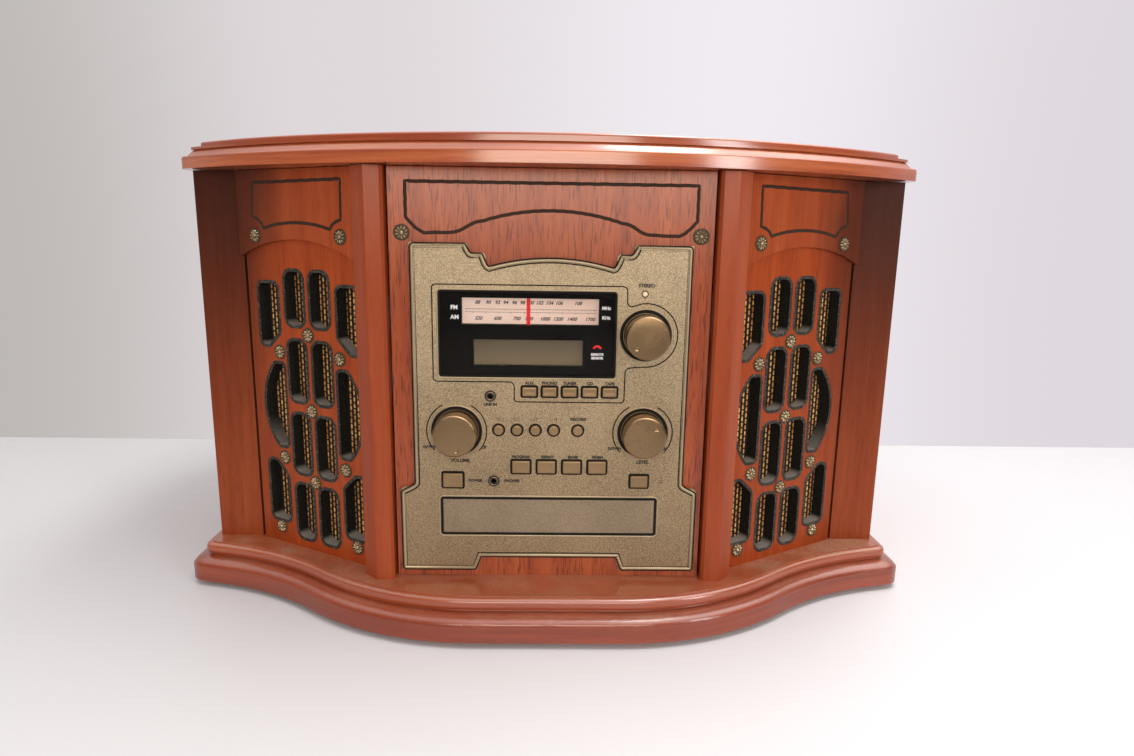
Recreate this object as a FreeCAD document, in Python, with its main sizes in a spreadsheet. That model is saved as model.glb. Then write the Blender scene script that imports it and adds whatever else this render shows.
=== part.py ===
import FreeCAD, Part
import math
import os
import re
import Sketcher
from FreeCAD import Placement, Rotation, Vector

# Record player in a bow-fronted wooden cabinet: radio, disc drawer and a turntable under a hinged lid.
# Millimetres, +X right, +Y back, +Z up. The origin is the centre of the footprint, at table level.

SIZES = {
    # Footprint and the bowed front line that the base and the ledge share
    "base_width": 560.0,
    "base_depth": 390.0,
    "nose_flat_half": 48.7,
    "nose_radius": 193.5,
    "bow_angle": 38.9,
    "shoulder_angle": 13.5,
    "shoulder_reach": 26.6,
    "base_corner_radius": 14.5,
    # Feet, base moulding and ledge
    "foot_height": 4.5,
    "foot_radius": 11.0,
    "front_foot_spread": 140.0,
    "front_foot_setback": 62.0,
    "back_foot_spread": 235.0,
    "back_foot_inset": 30.0,
    "fascia_height": 11.5,
    "bead_height": 5.5,
    "bead_inset": 0.8,
    "bead_run": 11.2,
    "recess_height": 1.0,
    "recess_inset": 12.0,
    "nose_height": 8.5,
    "nose_inset": 9.5,
    "nose_round": 3.4,
    "ledge_step": 1.0,
    "ledge_inset": 13.2,
    "ledge_corner_radius": 8.0,
    "ledge_back_inset": 5.0,
    # Cabinet walls
    "wall_height": 283.0,
    "body_half_width": 262.6,
    "body_back_inset": 9.5,
    "side_thickness": 12.0,
    "back_thickness": 6.0,
    "back_fit": 0.4,
    "vent_pitch": 50.0,
    "vent_shift": 4.0,
    "vent_width": 12.0,
    "vent_bottom": 60.0,
    "vent_rise": 70.0,
    "vent_height": 40.0,
    "strip_inner": 229.6,
    "strip_setback": 112.3,
    "strip_thickness": 12.0,
    "board_half_width": 107.3,
    "board_setback": 45.0,
    "board_thickness": 12.0,
    "board_window_half": 86.0,
    "board_window_bottom": 22.0,
    "board_window_height": 190.0,
    # Corner posts
    "post_gap": 1.5,
    "post_proud": 8.8,
    "post_shoulder": 2.8,
    "post_facet_width": 12.2,
    "post_outer": 131.0,
    "post_outer_setback": 45.5,
    "post_round": 1.6,
    "post_round_depth": 7.0,
    "post_round_clear": 3.0,
    "post_lap": 0.9,
    "post_edge_run": 1.8,
    "post_edge_drop": 0.9,
    "wing_corner": 129.8,
    "wing_corner_setback": 55.7,
    "post_rebate": 12.0,
    # Wings: slotted board, raised arched header, cloth
    "wing_thickness": 10.0,
    "wing_start": 2.6,
    "wing_tail": 11.3,
    "header_thickness": 3.5,
    "header_start": 0.4,
    "header_end_gap": 1.4,
    "header_edge_height": 221.9,
    "header_rise": 13.0,
    "cloth_thickness": 1.0,
    "cloth_height": 214.0,
    "cloth_side_margin": 7.0,
    "cloth_bottom": 2.0,
    "slot_centre": 62.8,
    "slot_gap_half": 2.9,
    "slot_width": 19.2,
    "slot_round": 6.6,
    "side_slot_start": 28.9,
    "side_slot_width": 21.2,
    "side_slot_round": 5.0,
    "slot_cut_width": 12.0,
    "slot_cut_height": 11.0,
    "bowed_slot_start": 26.6,
    "bowed_slot_end_width": 10.0,
    "bowed_slot_width": 22.8,
    "bowed_slot_round": 3.6,
    "slot_top_bottom": 172.5,
    "slot_top_height": 40.4,
    "slot_upper_bottom": 115.9,
    "slot_upper_height": 46.6,
    "slot_lower_bottom": 60.0,
    "slot_lower_height": 47.2,
    "slot_base_bottom": 7.5,
    "slot_base_height": 44.7,
    "side_top_bottom": 156.0,
    "side_top_height": 47.5,
    "side_bowed_bottom": 79.0,
    "side_bowed_height": 64.9,
    "side_base_bottom": 18.2,
    "side_base_height": 49.0,
    # Rosette studs
    "stud_radius": 5.4,
    "stud_crown_radius": 3.2,
    "stud_height": 2.1,
    "board_stud_offset": 98.6,
    "board_stud_height": 241.1,
    "header_stud_centre": 60.0,
    "header_stud_offset": 42.0,
    "header_stud_height": 237.2,
    "stud_top": 166.9,
    "stud_middle": 110.4,
    "stud_bottom": 55.3,
    "stud_pair_upper_offset": 30.2,
    "stud_pair_upper": 152.2,
    "stud_pair_lower_offset": 31.4,
    "stud_pair_lower": 70.5,
    "stud_pair_base_offset": 40.0,
    "stud_pair_base": 12.7,
    # Glue blocks and rails
    "block_depth": 9.0,
    "block_cloth_gap": 1.0,
    "block_heel": 12.0,
    "front_rail_inset": 8.0,
    "rail_width": 12.0,
    "rail_height": 12.0,
    "rail_end_gap": 30.0,
    # Control panel
    "panel_thickness": 3.0,
    "panel_bottom": 5.0,
    "panel_foot_half": 103.6,
    "panel_foot_height": 58.0,
    "panel_step_height": 7.5,
    "panel_half": 93.7,
    "panel_height": 230.0,
    "panel_flat_inner": 57.4,
    "panel_ogee_inner": 52.5,
    "panel_ogee_drop": 6.2,
    "panel_tip_outer": 46.3,
    "panel_tip_inner": 41.0,
    "panel_tip_drop": 14.7,
    "panel_arch_rise": 5.9,
    "notch_half": 50.7,
    "notch_slant": 3.0,
    "notch_height": 9.8,
    "boss_radius": 3.0,
    "boss_lap": 0.5,
    "boss_spread": 81.0,
    "boss_low": 68.0,
    "boss_high": 207.0,
    # Display
    "window_left": -74.7,
    "window_width": 118.1,
    "window_bottom": 146.3,
    "window_height": 57.2,
    "glass_thickness": 2.0,
    "glass_recess": 0.4,
    "glass_fit": 0.15,
    "card_left": -60.3,
    "card_width": 92.7,
    "card_bottom": 181.0,
    "card_height": 18.0,
    "card_depth": 6.0,
    "lcd_left": -52.5,
    "lcd_width": 74.3,
    "lcd_bottom": 152.8,
    "lcd_height": 18.2,
    "lcd_depth": 6.0,
    "pointer_width": 2.5,
    "pointer_thickness": 0.8,
    "pointer_gap": 0.4,
    "pointer_travel": 38.0,
    "pointer_share": 0.485,
    "pointer_tail": 3.0,
    "carriage_length": 4.0,
    # Knobs
    "knob_radius": 14.75,
    "knob_reach": 15.0,
    "knob_round": 1.8,
    "knob_gap": 0.35,
    "well_radius": 17.75,
    "well_depth": 1.2,
    "shaft_radius": 3.0,
    "shaft_hole_radius": 3.6,
    "shaft_fit": 0.06,
    "pot_radius": 8.0,
    "pot_height": 8.6,
    "shaft_end_gap": 0.5,
    "tuning_across": 63.9,
    "tuning_up": 175.2,
    "volume_across": 64.0,
    "level_across": 64.1,
    "volume_up": 107.5,
    # Push buttons
    "button_fit": 0.3,
    "button_reach": 1.8,
    "button_flange": 1.0,
    "button_flange_margin": 0.9,
    "button_flange_gap": 0.1,
    "button_travel": 1.0,
    "stem_radius": 1.6,
    "switch_side": 6.0,
    "switch_height": 3.0,
    "switch_gap": 0.2,
    "function_left": -14.2,
    "function_pitch": 13.67,
    "function_up": 135.9,
    "function_width": 10.4,
    "function_height": 7.1,
    "transport_left": -35.2,
    "transport_pitch": 12.6,
    "transport_last": 19.2,
    "transport_up": 108.7,
    "transport_radius": 3.6,
    "mode_left": -19.8,
    "mode_pitch": 17.6,
    "mode_up": 82.4,
    "mode_width": 13.1,
    "mode_height": 9.5,
    "power_across": -67.0,
    "power_up": 72.4,
    "power_width": 14.4,
    "power_height": 10.9,
    "eject_across": 62.6,
    "eject_width": 12.8,
    "eject_height": 9.2,
    # Jack sockets
    "jack_radius": 3.9,
    "jack_lip": 0.8,
    "jack_barrel_radius": 3.2,
    "jack_bore_radius": 1.8,
    "jack_bore_depth": 9.0,
    "line_jack_across": -40.8,
    "line_jack_up": 132.5,
    "phones_jack_across": -38.7,
    "phones_jack_up": 71.9,
    # Control board
    "board_gap": 12.0,
    "circuit_half_width": 84.0,
    "circuit_thickness": 1.6,
    "circuit_bottom": 63.8,
    "circuit_height": 155.0,
    # Disc drive and its tray
    "door_half_width": 74.0,
    "door_bottom": 33.7,
    "door_height": 24.4,
    "door_fit": 0.6,
    "door_thickness": 2.8,
    "door_lap": 0.2,
    "drive_wall": 4.0,
    "drive_floor": 7.6,
    "drive_roof": 2.4,
    "drive_depth": 190.0,
    "drive_front_gap": 0.4,
    "drive_leg_gap": 2.0,
    "drive_leg_inset": 10.0,
    "drive_back_wall": 4.0,
    "tray_half_width": 73.6,
    "tray_fit": 0.3,
    "tray_thickness": 9.0,
    "tray_length": 158.0,
    "disc_well_radius": 61.0,
    "disc_well_depth": 5.0,
    "disc_centre": 78.0,
    "lens_slot_width": 34.0,
    "lens_slot_length": 66.0,
    "lens_slot_ahead": 12.0,
    "tray_travel": 135.0,
    # Speakers
    "speaker_radius": 49.0,
    "speaker_flange": 2.5,
    "speaker_depth": 38.0,
    "speaker_along": 59.8,
    "speaker_up": 120.0,
    "cone_radius": 42.0,
    "cone_depth": 15.0,
    "dust_cap_radius": 13.0,
    "dust_cap_rise": 2.0,
    "surround_depth": 1.5,
    "basket_rim": 3.0,
    "basket_radius": 24.0,
    "magnet_front": 24.0,
    "magnet_radius": 30.0,
    # Transformer
    "core_width": 66.0,
    "core_depth": 24.0,
    "core_height": 54.0,
    "coil_width": 40.0,
    "coil_depth": 48.0,
    "coil_height": 40.0,
    "core_across": 150.0,
    "core_back_inset": 85.0,
    # Turntable deck
    "deck_height": 238.0,
    "deck_thickness": 5.0,
    "deck_fit": 0.5,
    "deck_front_fit": 1.5,
    "platter_across": -50.0,
    "platter_back": 28.0,
    "platter_edge_inset": 55.0,
    "platter_height": 14.0,
    "platter_gap": 3.5,
    "platter_web": 5.0,
    "skirt_thickness": 6.0,
    "belt_rim_inset": 50.0,
    "belt_rim_thickness": 6.0,
    "hub_radius": 12.0,
    "hub_gap": 0.5,
    "spindle_radius": 3.6,
    "spindle_fit": 0.05,
    "spindle_rise": 12.0,
    "spindle_drop": 22.0,
    "spindle_shank_radius": 4.5,
    "bearing_radius": 10.0,
    "bearing_drop": 20.0,
    "mat_thickness": 2.3,
    "mat_edge": 2.0,
    "platter_boss_radius": 8.0,
    "mat_hole_gap": 0.3,
    # Motor, pulley and belt
    "pulley_radius": 5.5,
    "pulley_inset": 28.0,
    "pulley_angle": 135.0,
    "belt_gap": 0.3,
    "belt_thickness": 0.8,
    "belt_height": 5.0,
    "belt_drop": 7.0,
    "belt_rise": 2.0,
    "pulley_rise": 9.5,
    "pulley_lift": 1.2,
    "pulley_shaft_radius": 1.2,
    "pulley_shaft_drop": 12.0,
    "pulley_hole_radius": 4.0,
    "motor_radius": 18.0,
    "motor_height": 24.0,
    # Tonearm
    "arm_across": 118.0,
    "arm_back_inset": 77.0,
    "arm_length": 203.0,
    "arm_rise": 29.0,
    "arm_base_radius": 25.0,
    "arm_base_height": 13.0,
    "yoke_radius": 17.0,
    "yoke_gap": 0.3,
    "yoke_floor": 3.0,
    "yoke_post_radius": 4.0,
    "yoke_post_drop": 8.0,
    "ear_thickness": 3.0,
    "ear_depth": 12.0,
    "ear_rise": 5.0,
    "arm_block_width": 12.0,
    "arm_block_depth": 14.0,
    "arm_block_height": 10.0,
    "arm_pin_radius": 1.5,
    "arm_fit": 0.05,
    "arm_side_gap": 0.4,
    "tube_radius": 3.5,
    "weight_radius": 12.5,
    "weight_start": 22.0,
    "weight_length": 28.0,
    "shell_width": 15.0,
    "shell_length": 30.0,
    "shell_thickness": 4.0,
    "cartridge_width": 11.0,
    "cartridge_length": 20.0,
    "cartridge_height": 2.9,
    "cartridge_lap": 0.5,
    "rest_back": 38.0,
    "rest_post_radius": 4.0,
    "rest_gap": 0.3,
    "rest_lip": 5.0,
    "rest_lip_thickness": 2.5,
    # Cue lever
    "cue_across": 37.0,
    "cue_back": 20.0,
    "cue_post_width": 10.0,
    "cue_post_depth": 12.0,
    "cue_post_height": 15.0,
    "cue_pin_radius": 2.0,
    "cue_pin_depth": 7.0,
    "cue_pin_drop": 5.0,
    "cue_pin_lap": 0.5,
    "cue_lever_heel": 4.0,
    "cue_lever_length": 34.0,
    "cue_lever_thickness": 4.0,
    "cue_lever_width": 5.0,
    # Lid
    "lid_gap": 0.4,
    "lid_bow_radius": 423.0,
    "lid_fascia_inset": 11.0,
    "lid_fascia_height": 8.8,
    "lid_edge_round": 1.8,
    "lid_cove_inset": 14.5,
    "lid_cove_run": 4.5,
    "lid_cove_height": 4.8,
    "lid_bead_inset": 17.5,
    "lid_bead_height": 1.8,
    "lid_top_inset": 23.5,
    "lid_top_height": 4.2,
    "lid_corner_radius": 9.0,
    "lid_top_corner_radius": 5.0,
    "lid_back_inset": 8.5,
    "lid_step_back": 1.0,
    "lid_top_back": 6.0,
    "lid_rim": 16.0,
    "lid_recess_depth": 11.6,
    # Hinges and the lid stay
    "hinge_spread": 170.0,
    "hinge_length": 50.0,
    "hinge_middle": 19.6,
    "hinge_gap": 0.2,
    "knuckle_radius": 3.2,
    "knuckle_offset": 3.2,
    "knuckle_lift": 0.2,
    "knuckle_bite": 0.4,
    "hinge_pin_radius": 1.2,
    "hinge_fit": 0.05,
    "leaf_thickness": 1.5,
    "leaf_height": 15.0,
    "leaf_clearance": 0.6,
    "leaf_top_gap": 0.5,
    "stay_gap": 2.0,
    "stay_side_gap": 0.4,
    "stay_thickness": 2.0,
    "stay_width": 7.4,
    "stay_length": 150.0,
    "stay_pivot_forward": 14.5,
    "stay_pivot_drop": 9.0,
    "stay_pin_radius": 1.5,
    "stay_fit": 0.05,
    "stay_bracket_length": 26.0,
    "stay_bracket_back": 4.0,
    "stay_bracket_height": 18.0,
    "stay_bracket_top": 5.0,
    "track_thickness": 2.0,
    "track_ahead": 12.0,
    "track_behind": 32.0,
    "track_margin": 3.0,
    "track_slot_below": 5.3,
    "track_slot_above": 1.9,
    "track_slot_ahead": 4.0,
    "track_slot_behind": 24.0,
    "track_flange_width": 11.0,
    "track_flange_thickness": 1.5,
}

# Sizes that follow from others, as formulas of the same sheet
FOLLOWING = {
    "hollow_radius": ("(base_width / 2 - shoulder_reach - nose_flat_half"
                      " - nose_radius * sin(bow_angle * 1deg))"
                      " / (sin(bow_angle * 1deg) - sin(shoulder_angle * 1deg))"),
    "core_back": "base_depth / 2 - core_back_inset",
    "platter_radius": "base_depth / 2 - platter_edge_inset",
    "mat_radius": "base_depth / 2 - platter_edge_inset - mat_edge",
    "belt_rim_radius": "base_depth / 2 - platter_edge_inset - belt_rim_inset",
    "pulley_distance": "base_depth / 2 - platter_edge_inset - pulley_inset",
    "arm_back": "base_depth / 2 - arm_back_inset",
}

doc = FreeCAD.newDocument("record_player")
sheet = doc.addObject("Spreadsheet::Sheet", "Sizes")
rows = list(SIZES.items()) + [(alias, f"={formula}") for alias, formula in FOLLOWING.items()]
for row, (alias, value) in enumerate(rows, 1):
    sheet.set(f"A{row}", alias)
    sheet.set(f"B{row}", str(value))
    sheet.setAlias(f"B{row}", alias)
doc.recompute()

AXIS_TURN = {
    "X": Rotation(Vector(0, 1, 0), 90),
    "Y": Rotation(Vector(1, 0, 0), -90),
    "-Y": Rotation(Vector(1, 0, 0), 90),
    "Z": Rotation(),
}
nodes = {}


# Helpers that bind an object's sizes to the sheet

def bind(obj, path, text):
    """Ties a property to an expression whose words with underscores are the sheet's aliases."""
    obj.setExpression(path, re.sub(r"\b([a-z]+(?:_[a-z]+)+)\b", r"Sizes.\1", text))


def place(obj, x, y, z, turn=None):
    if turn is not None:
        obj.Placement = Placement(Vector(), turn)
    bind(obj, "Placement.Base.x", x)
    bind(obj, "Placement.Base.y", y)
    bind(obj, "Placement.Base.z", z)
    return obj


def block(name, x, y, z):
    """Box between two expressions along each axis."""
    obj = doc.addObject("Part::Box", name)
    for prop, (low, high) in zip(("Length", "Width", "Height"), (x, y, z)):
        bind(obj, prop, f"({high}) - ({low})")
    return place(obj, x[0], y[0], z[0])


def rod(name, radius, length, at, axis="Z"):
    obj = doc.addObject("Part::Cylinder", name)
    bind(obj, "Radius", radius)
    bind(obj, "Height", length)
    return place(obj, *at, turn=AXIS_TURN[axis])


def fuse(name, shapes):
    obj = doc.addObject("Part::MultiFuse", name)
    obj.Shapes = shapes
    return obj


def group(name, shapes):
    obj = doc.addObject("Part::Compound", name)
    obj.Links = shapes
    return obj


def cut(name, base, tools):
    obj = doc.addObject("Part::Cut", name)
    obj.Base = base
    obj.Tool = tools[0] if len(tools) == 1 else group(name + "_tools", tools)
    return obj


def sketched_body(name, role, points):
    """Body with a closed sketch whose corners are tied to expressions."""
    body = doc.addObject("PartDesign::Body", name)
    sketch = body.newObject("Sketcher::SketchObject", name + "_outline")
    plane = [item for item in body.Origin.OriginFeatures if item.Role == role][0]
    sketch.AttachmentSupport = [(plane, "")]
    sketch.MapMode = "FlatFace"
    count = len(points)
    ring = [Vector(10 * math.cos(math.tau * i / count), 10 * math.sin(math.tau * i / count), 0)
            for i in range(count)]
    sketch.addGeometry([Part.LineSegment(ring[i], ring[(i + 1) % count]) for i in range(count)], False)
    for i in range(count):
        sketch.addConstraint(Sketcher.Constraint("Coincident", i, 2, (i + 1) % count, 1))
    for i, (across, up) in enumerate(points):
        for kind, text, start in (("DistanceX", across, ring[i].x), ("DistanceY", up, ring[i].y)):
            index = sketch.addConstraint(Sketcher.Constraint(kind, -1, 1, i, 1, start))
            bind(sketch, f"Constraints[{index}]", text)
    return body, sketch


def turned(name, points):
    """Body of revolution about its Z axis, from (radius, height) expressions."""
    body, sketch = sketched_body(name, "XZ_Plane", points)
    feature = body.newObject("PartDesign::Revolution", name + "_turn")
    feature.Profile = sketch
    feature.ReferenceAxis = (sketch, ["V_Axis"])
    feature.Angle = 360
    return body


def feature(name, shape, placement=None):
    obj = doc.addObject("Part::Feature", name)
    obj.Shape = shape
    if placement is not None:
        obj.Placement = placement
    return obj


def keep(label, obj):
    """Names a finished sub-part, which is written under this name."""
    obj.Label = label
    nodes[label] = obj
    return obj


# Heights and setbacks that several sub-parts share, as expressions and as numbers

LEDGE = "foot_height + fascia_height + bead_height + recess_height + nose_height + ledge_step"
BASE_FRONT = "-base_depth / 2"
BOARD_FRONT = f"{BASE_FRONT} + board_setback"
BOARD_BACK = f"{BOARD_FRONT} + board_thickness"
STRIP_FRONT = f"{BASE_FRONT} + strip_setback"
PANEL_FRONT = f"{BOARD_FRONT} - panel_thickness"
CIRCUIT_FRONT = f"{BOARD_FRONT} + board_gap"
BODY_BACK = "base_depth / 2 - body_back_inset"
BACK_INNER = f"{BODY_BACK} - back_thickness"
WALL_TOP = f"{LEDGE} + wall_height"
DECK_TOP = f"{LEDGE} + deck_height"
DECK_UNDER = f"{DECK_TOP} - deck_thickness"

ledge_z = (sheet.foot_height + sheet.fascia_height + sheet.bead_height + sheet.recess_height
           + sheet.nose_height + sheet.ledge_step)
base_front = -sheet.base_depth / 2
board_front = base_front + sheet.board_setback
board_back = board_front + sheet.board_thickness
strip_front = base_front + sheet.strip_setback
wall_top = ledge_z + sheet.wall_height
deck_top = ledge_z + sheet.deck_height
body_back = sheet.base_depth / 2 - sheet.body_back_inset
back_inner = body_back - sheet.back_thickness
wing_run = Vector(sheet.strip_inner - sheet.wing_corner,
                  sheet.strip_setback - sheet.wing_corner_setback, 0)
wing_angle = math.degrees(math.atan2(wing_run.y, wing_run.x))


# Outlines

def symmetric_face(start, steps):
    """Face from half an outline, on X >= 0, and its mirror image. A step is (end) or (via, end)."""
    edges = []
    here = start
    for step in steps:
        end = step[-1]
        for side in (1, -1):
            first = Vector(side * here[0], here[1], 0)
            last = Vector(side * end[0], end[1], 0)
            if len(step) == 2:
                via = Vector(side * step[0][0], step[0][1], 0)
                edges.append(Part.Arc(first, via, last).toShape())
            else:
                edges.append(Part.makeLine(first, last))
        here = end
    return Part.Face(Part.Wire(Part.__sortEdges__(edges)))


def bowed_face(inset, corner, back_inset):
    """Plan outline that follows the bowed front at an even inset from the base's fascia."""
    bow = math.radians(sheet.bow_angle)
    slant = math.radians(sheet.shoulder_angle)
    nose = Vector(sheet.nose_flat_half, base_front + sheet.nose_radius, 0)
    hollow = nose + Vector(math.sin(bow), -math.cos(bow), 0) * (sheet.nose_radius + sheet.hollow_radius)
    convex = sheet.nose_radius - inset
    concave = sheet.hollow_radius + inset
    half = sheet.base_width / 2 - inset
    round_x = half - corner

    def on_nose(turn):
        return (nose.x + convex * math.sin(turn), nose.y - convex * math.cos(turn))

    def on_hollow(turn):
        return (hollow.x - concave * math.sin(turn), hollow.y + concave * math.cos(turn))

    shoulder = on_hollow(slant)
    round_y = shoulder[1] + (round_x - shoulder[0]) * math.tan(slant) + corner / math.cos(slant)

    def on_corner(turn):
        return (round_x + corner * math.sin(turn), round_y - corner * math.cos(turn))

    back = sheet.base_depth / 2 - back_inset
    steps = [
        ((nose.x, base_front + inset),),
        (on_nose(bow / 2), on_nose(bow)),
        (on_hollow((bow + slant) / 2), shoulder),
        (on_corner(slant),),
        (on_corner((slant + math.pi / 2) / 2), (half, round_y)),
        ((half, back),),
        ((0, back),),
    ]
    return symmetric_face((0, base_front + inset), steps)


def lid_face(inset, corner, back_inset):
    """Plan outline of the lid: one flat arc from side to side, with rounded front corners."""
    radius = sheet.lid_bow_radius + sheet.lid_fascia_inset - inset
    centre_y = base_front + inset + radius
    half = sheet.base_width / 2 - inset
    round_x = half - corner
    turn = math.asin(round_x / (radius - corner))
    round_y = centre_y - (radius - corner) * math.cos(turn)
    middle = (turn + math.pi / 2) / 2
    back = sheet.base_depth / 2 - back_inset
    steps = [
        ((radius * math.sin(turn / 2), centre_y - radius * math.cos(turn / 2)),
         (radius * math.sin(turn), centre_y - radius * math.cos(turn))),
        ((round_x + corner * math.sin(middle), round_y - corner * math.cos(middle)),
         (half, round_y)),
        ((half, back),),
        ((0, back),),
    ]
    return symmetric_face((0, base_front + inset), steps)


def slab(face, low, high, round_low=0.0, round_high=0.0):
    """Board over a plan outline between two heights, with rounded lower and upper edges."""
    face.translate(Vector(0, 0, low))
    solid = face.extrude(Vector(0, 0, high - low))
    for height, radius in ((low, round_low), (high, round_high)):
        if radius:
            edges = [edge for edge in solid.Edges
                     if all(abs(vertex.Z - height) < 1e-6 for vertex in edge.Vertexes)]
            solid = solid.makeFillet(radius, edges)
    return solid


def lofted(sections, ruled):
    """Solid through plan outlines that each lie at a height of their own."""
    wires = []
    for face, height in sections:
        face.translate(Vector(0, 0, height))
        wires.append(face.OuterWire)
    return Part.makeLoft(wires, True, ruled)


def s_curve(first, last, along):
    """Two equal arcs from one point to the other, starting and ending along 'x' or 'z'."""
    flip = along == "x"
    run = Vector(last[0] - first[0], last[1] - first[1], 0)
    lengthwise, sideways = (run.x, run.y) if flip else (run.y, run.x)
    half_turn = math.atan2(abs(sideways), abs(lengthwise))
    radius = (lengthwise ** 2 + sideways ** 2) / (4 * abs(sideways))
    ahead = math.copysign(radius * math.sin(half_turn), lengthwise)
    aside = math.copysign(radius * (1 - math.cos(half_turn)), sideways)
    shift = (ahead, aside) if flip else (aside, ahead)
    middle = ((first[0] + last[0]) / 2, (first[1] + last[1]) / 2)
    return [((first[0] + shift[0], first[1] + shift[1]), middle),
            ((last[0] - shift[0], last[1] - shift[1]), last)]


def arch_via(half, rise, low):
    """Point a quarter of the way along a circular arch, between its foot and its crown."""
    radius = (half ** 2 + rise ** 2) / (2 * rise)
    turn = math.asin(half / radius) / 2
    return (radius * math.sin(turn), low + rise - radius * (1 - math.cos(turn)))


def upright(face, thickness):
    """Stands an outline drawn as (across, up) in a plane of constant Y, thickened towards -Y."""
    solid = face.extrude(Vector(0, 0, thickness))
    solid.rotate(Vector(), Vector(1, 0, 0), 90)
    return solid


# Base, ledge and feet

BEAD_STEPS = 4


def make_base():
    foot_z = sheet.foot_height
    bead_z = foot_z + sheet.fascia_height
    recess_z = bead_z + sheet.bead_height
    nose_z = recess_z + sheet.recess_height
    step_z = nose_z + sheet.nose_height
    fascia = slab(bowed_face(0, sheet.base_corner_radius, 0), foot_z, bead_z)
    sections = []
    for step in range(BEAD_STEPS + 1):
        turn = math.pi / 2 * step / BEAD_STEPS
        inset = sheet.bead_inset + sheet.bead_run * (1 - math.cos(turn))
        corner = sheet.base_corner_radius - inset / 2
        sections.append((bowed_face(inset, corner, sheet.bead_inset),
                         bead_z + sheet.bead_height * math.sin(turn)))
    bead = lofted(sections, False)
    keep("base_moulding", feature("base_moulding", fascia.fuse(bead).removeSplitter()))
    corner = sheet.ledge_corner_radius
    back = sheet.ledge_back_inset
    recess = slab(bowed_face(sheet.recess_inset, corner, back), recess_z, nose_z)
    nose = slab(bowed_face(sheet.nose_inset, corner, back), nose_z, step_z,
                sheet.nose_round, sheet.nose_round)
    step = slab(bowed_face(sheet.ledge_inset, corner, back), step_z, ledge_z)
    keep("floor_board", feature("floor_board", nose.fuse([recess, step]).removeSplitter()))
    feet = []
    for side, word in ((1, "right"), (-1, "left")):
        for end, spread, depth in (
            ("front", "front_foot_spread", f"{BASE_FRONT} + front_foot_setback"),
            ("back", "back_foot_spread", "base_depth / 2 - back_foot_inset"),
        ):
            at = (f"{side} * {spread}", depth, "0")
            feet.append(rod(f"foot_{end}_{word}", "foot_radius", "foot_height", at))
    keep("rubber_feet", group("rubber_feet", feet))


# Cabinet walls

VENT_COLUMNS = 6
VENT_ROWS = 2


def make_walls():
    for side, word in ((1, "right"), (-1, "left")):
        outer = f"{side} * body_half_width"
        inner = f"{side} * (body_half_width - side_thickness)"
        span = (inner, outer) if side > 0 else (outer, inner)
        depth = (f"{STRIP_FRONT} + strip_thickness", BODY_BACK)
        keep(f"side_panel_{word}", block(f"side_panel_{word}", span, depth, (LEDGE, WALL_TOP)))
    strips = []
    for side, word in ((1, "right"), (-1, "left")):
        edges = ("strip_inner", "body_half_width") if side > 0 else ("-body_half_width", "-strip_inner")
        strips.append(block(f"strip_{word}", edges, (STRIP_FRONT, f"{STRIP_FRONT} + strip_thickness"),
                            (LEDGE, WALL_TOP)))
    keep("outer_strips", group("outer_strips", strips))
    plank = block("front_plank", ("-board_half_width", "board_half_width"), (BOARD_FRONT, BOARD_BACK),
                  (LEDGE, WALL_TOP))
    window = block("front_window", ("-board_window_half", "board_window_half"),
                   (f"{BOARD_FRONT} - 1", f"{BOARD_BACK} + 1"),
                   (f"{LEDGE} + board_window_bottom",
                    f"{LEDGE} + board_window_bottom + board_window_height"))
    keep("front_board", cut("front_board", plank, [window]))
    inner = "body_half_width - side_thickness - back_fit"
    plate = block("back_plate", (f"-({inner})", inner), (BACK_INNER, BODY_BACK),
                  (LEDGE, f"{WALL_TOP} - back_fit"))
    vents = []
    for column in range(VENT_COLUMNS):
        left = f"{column - (VENT_COLUMNS - 1) / 2} * vent_pitch - vent_width / 2 - vent_shift"
        for row in range(VENT_ROWS):
            low = f"{LEDGE} + vent_bottom + {row} * vent_rise"
            vents.append(block(f"vent_{column}_{row}", (left, f"{left} + vent_width"),
                               (f"{BACK_INNER} - 1", f"{BODY_BACK} + 1"),
                               (low, f"{low} + vent_height")))
    keep("back_panel", cut("back_panel", plate, vents))


# Wings: the slotted boards at an angle between the outer strips and the corner posts

def wing_place(side):
    """Local X runs along the wing, local Y out of its face, from the strip's front inner corner."""
    corner = Vector(side * sheet.strip_inner, strip_front, 0)
    return Placement(corner, Rotation(Vector(0, 0, 1), 180 + side * wing_angle))


def handed(shape, side):
    """The right wing's shape, or its mirror image for the left wing."""
    return shape if side > 0 else shape.mirror(Vector(), Vector(1, 0, 0))


def prism(outline, low, high):
    """Solid over an outline of (along, up) corners, between two depths along local Y."""
    corners = [Vector(x, low, z) for x, z in outline]
    face = Part.Face(Part.makePolygon(corners + corners[:1]))
    return face.extrude(Vector(0, high - low, 0))


def rounded_through(solid, radius):
    """Rounds the edges that run along local Y."""
    edges = [edge for edge in solid.Edges
             if abs(edge.Vertexes[0].Y - edge.Vertexes[-1].Y) > 1 and len(edge.Vertexes) == 2]
    return solid.makeFillet(radius, edges)


def slot_outline(kind, low, high):
    """Corners of a slot as (distance from the wing's middle line, height)."""
    inner = sheet.slot_gap_half if kind == "round" else sheet.side_slot_start
    outer = inner + (sheet.slot_width if kind == "round" else sheet.side_slot_width)
    corners = [(inner, low), (outer, low), (outer, high), (inner, high)]
    if kind == "low_cut":
        corners[0:1] = [(inner, low + sheet.slot_cut_height), (inner + sheet.slot_cut_width, low)]
    if kind == "high_cut":
        corners[3:4] = [(inner + sheet.slot_cut_width, high), (inner, high - sheet.slot_cut_height)]
    return corners


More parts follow.
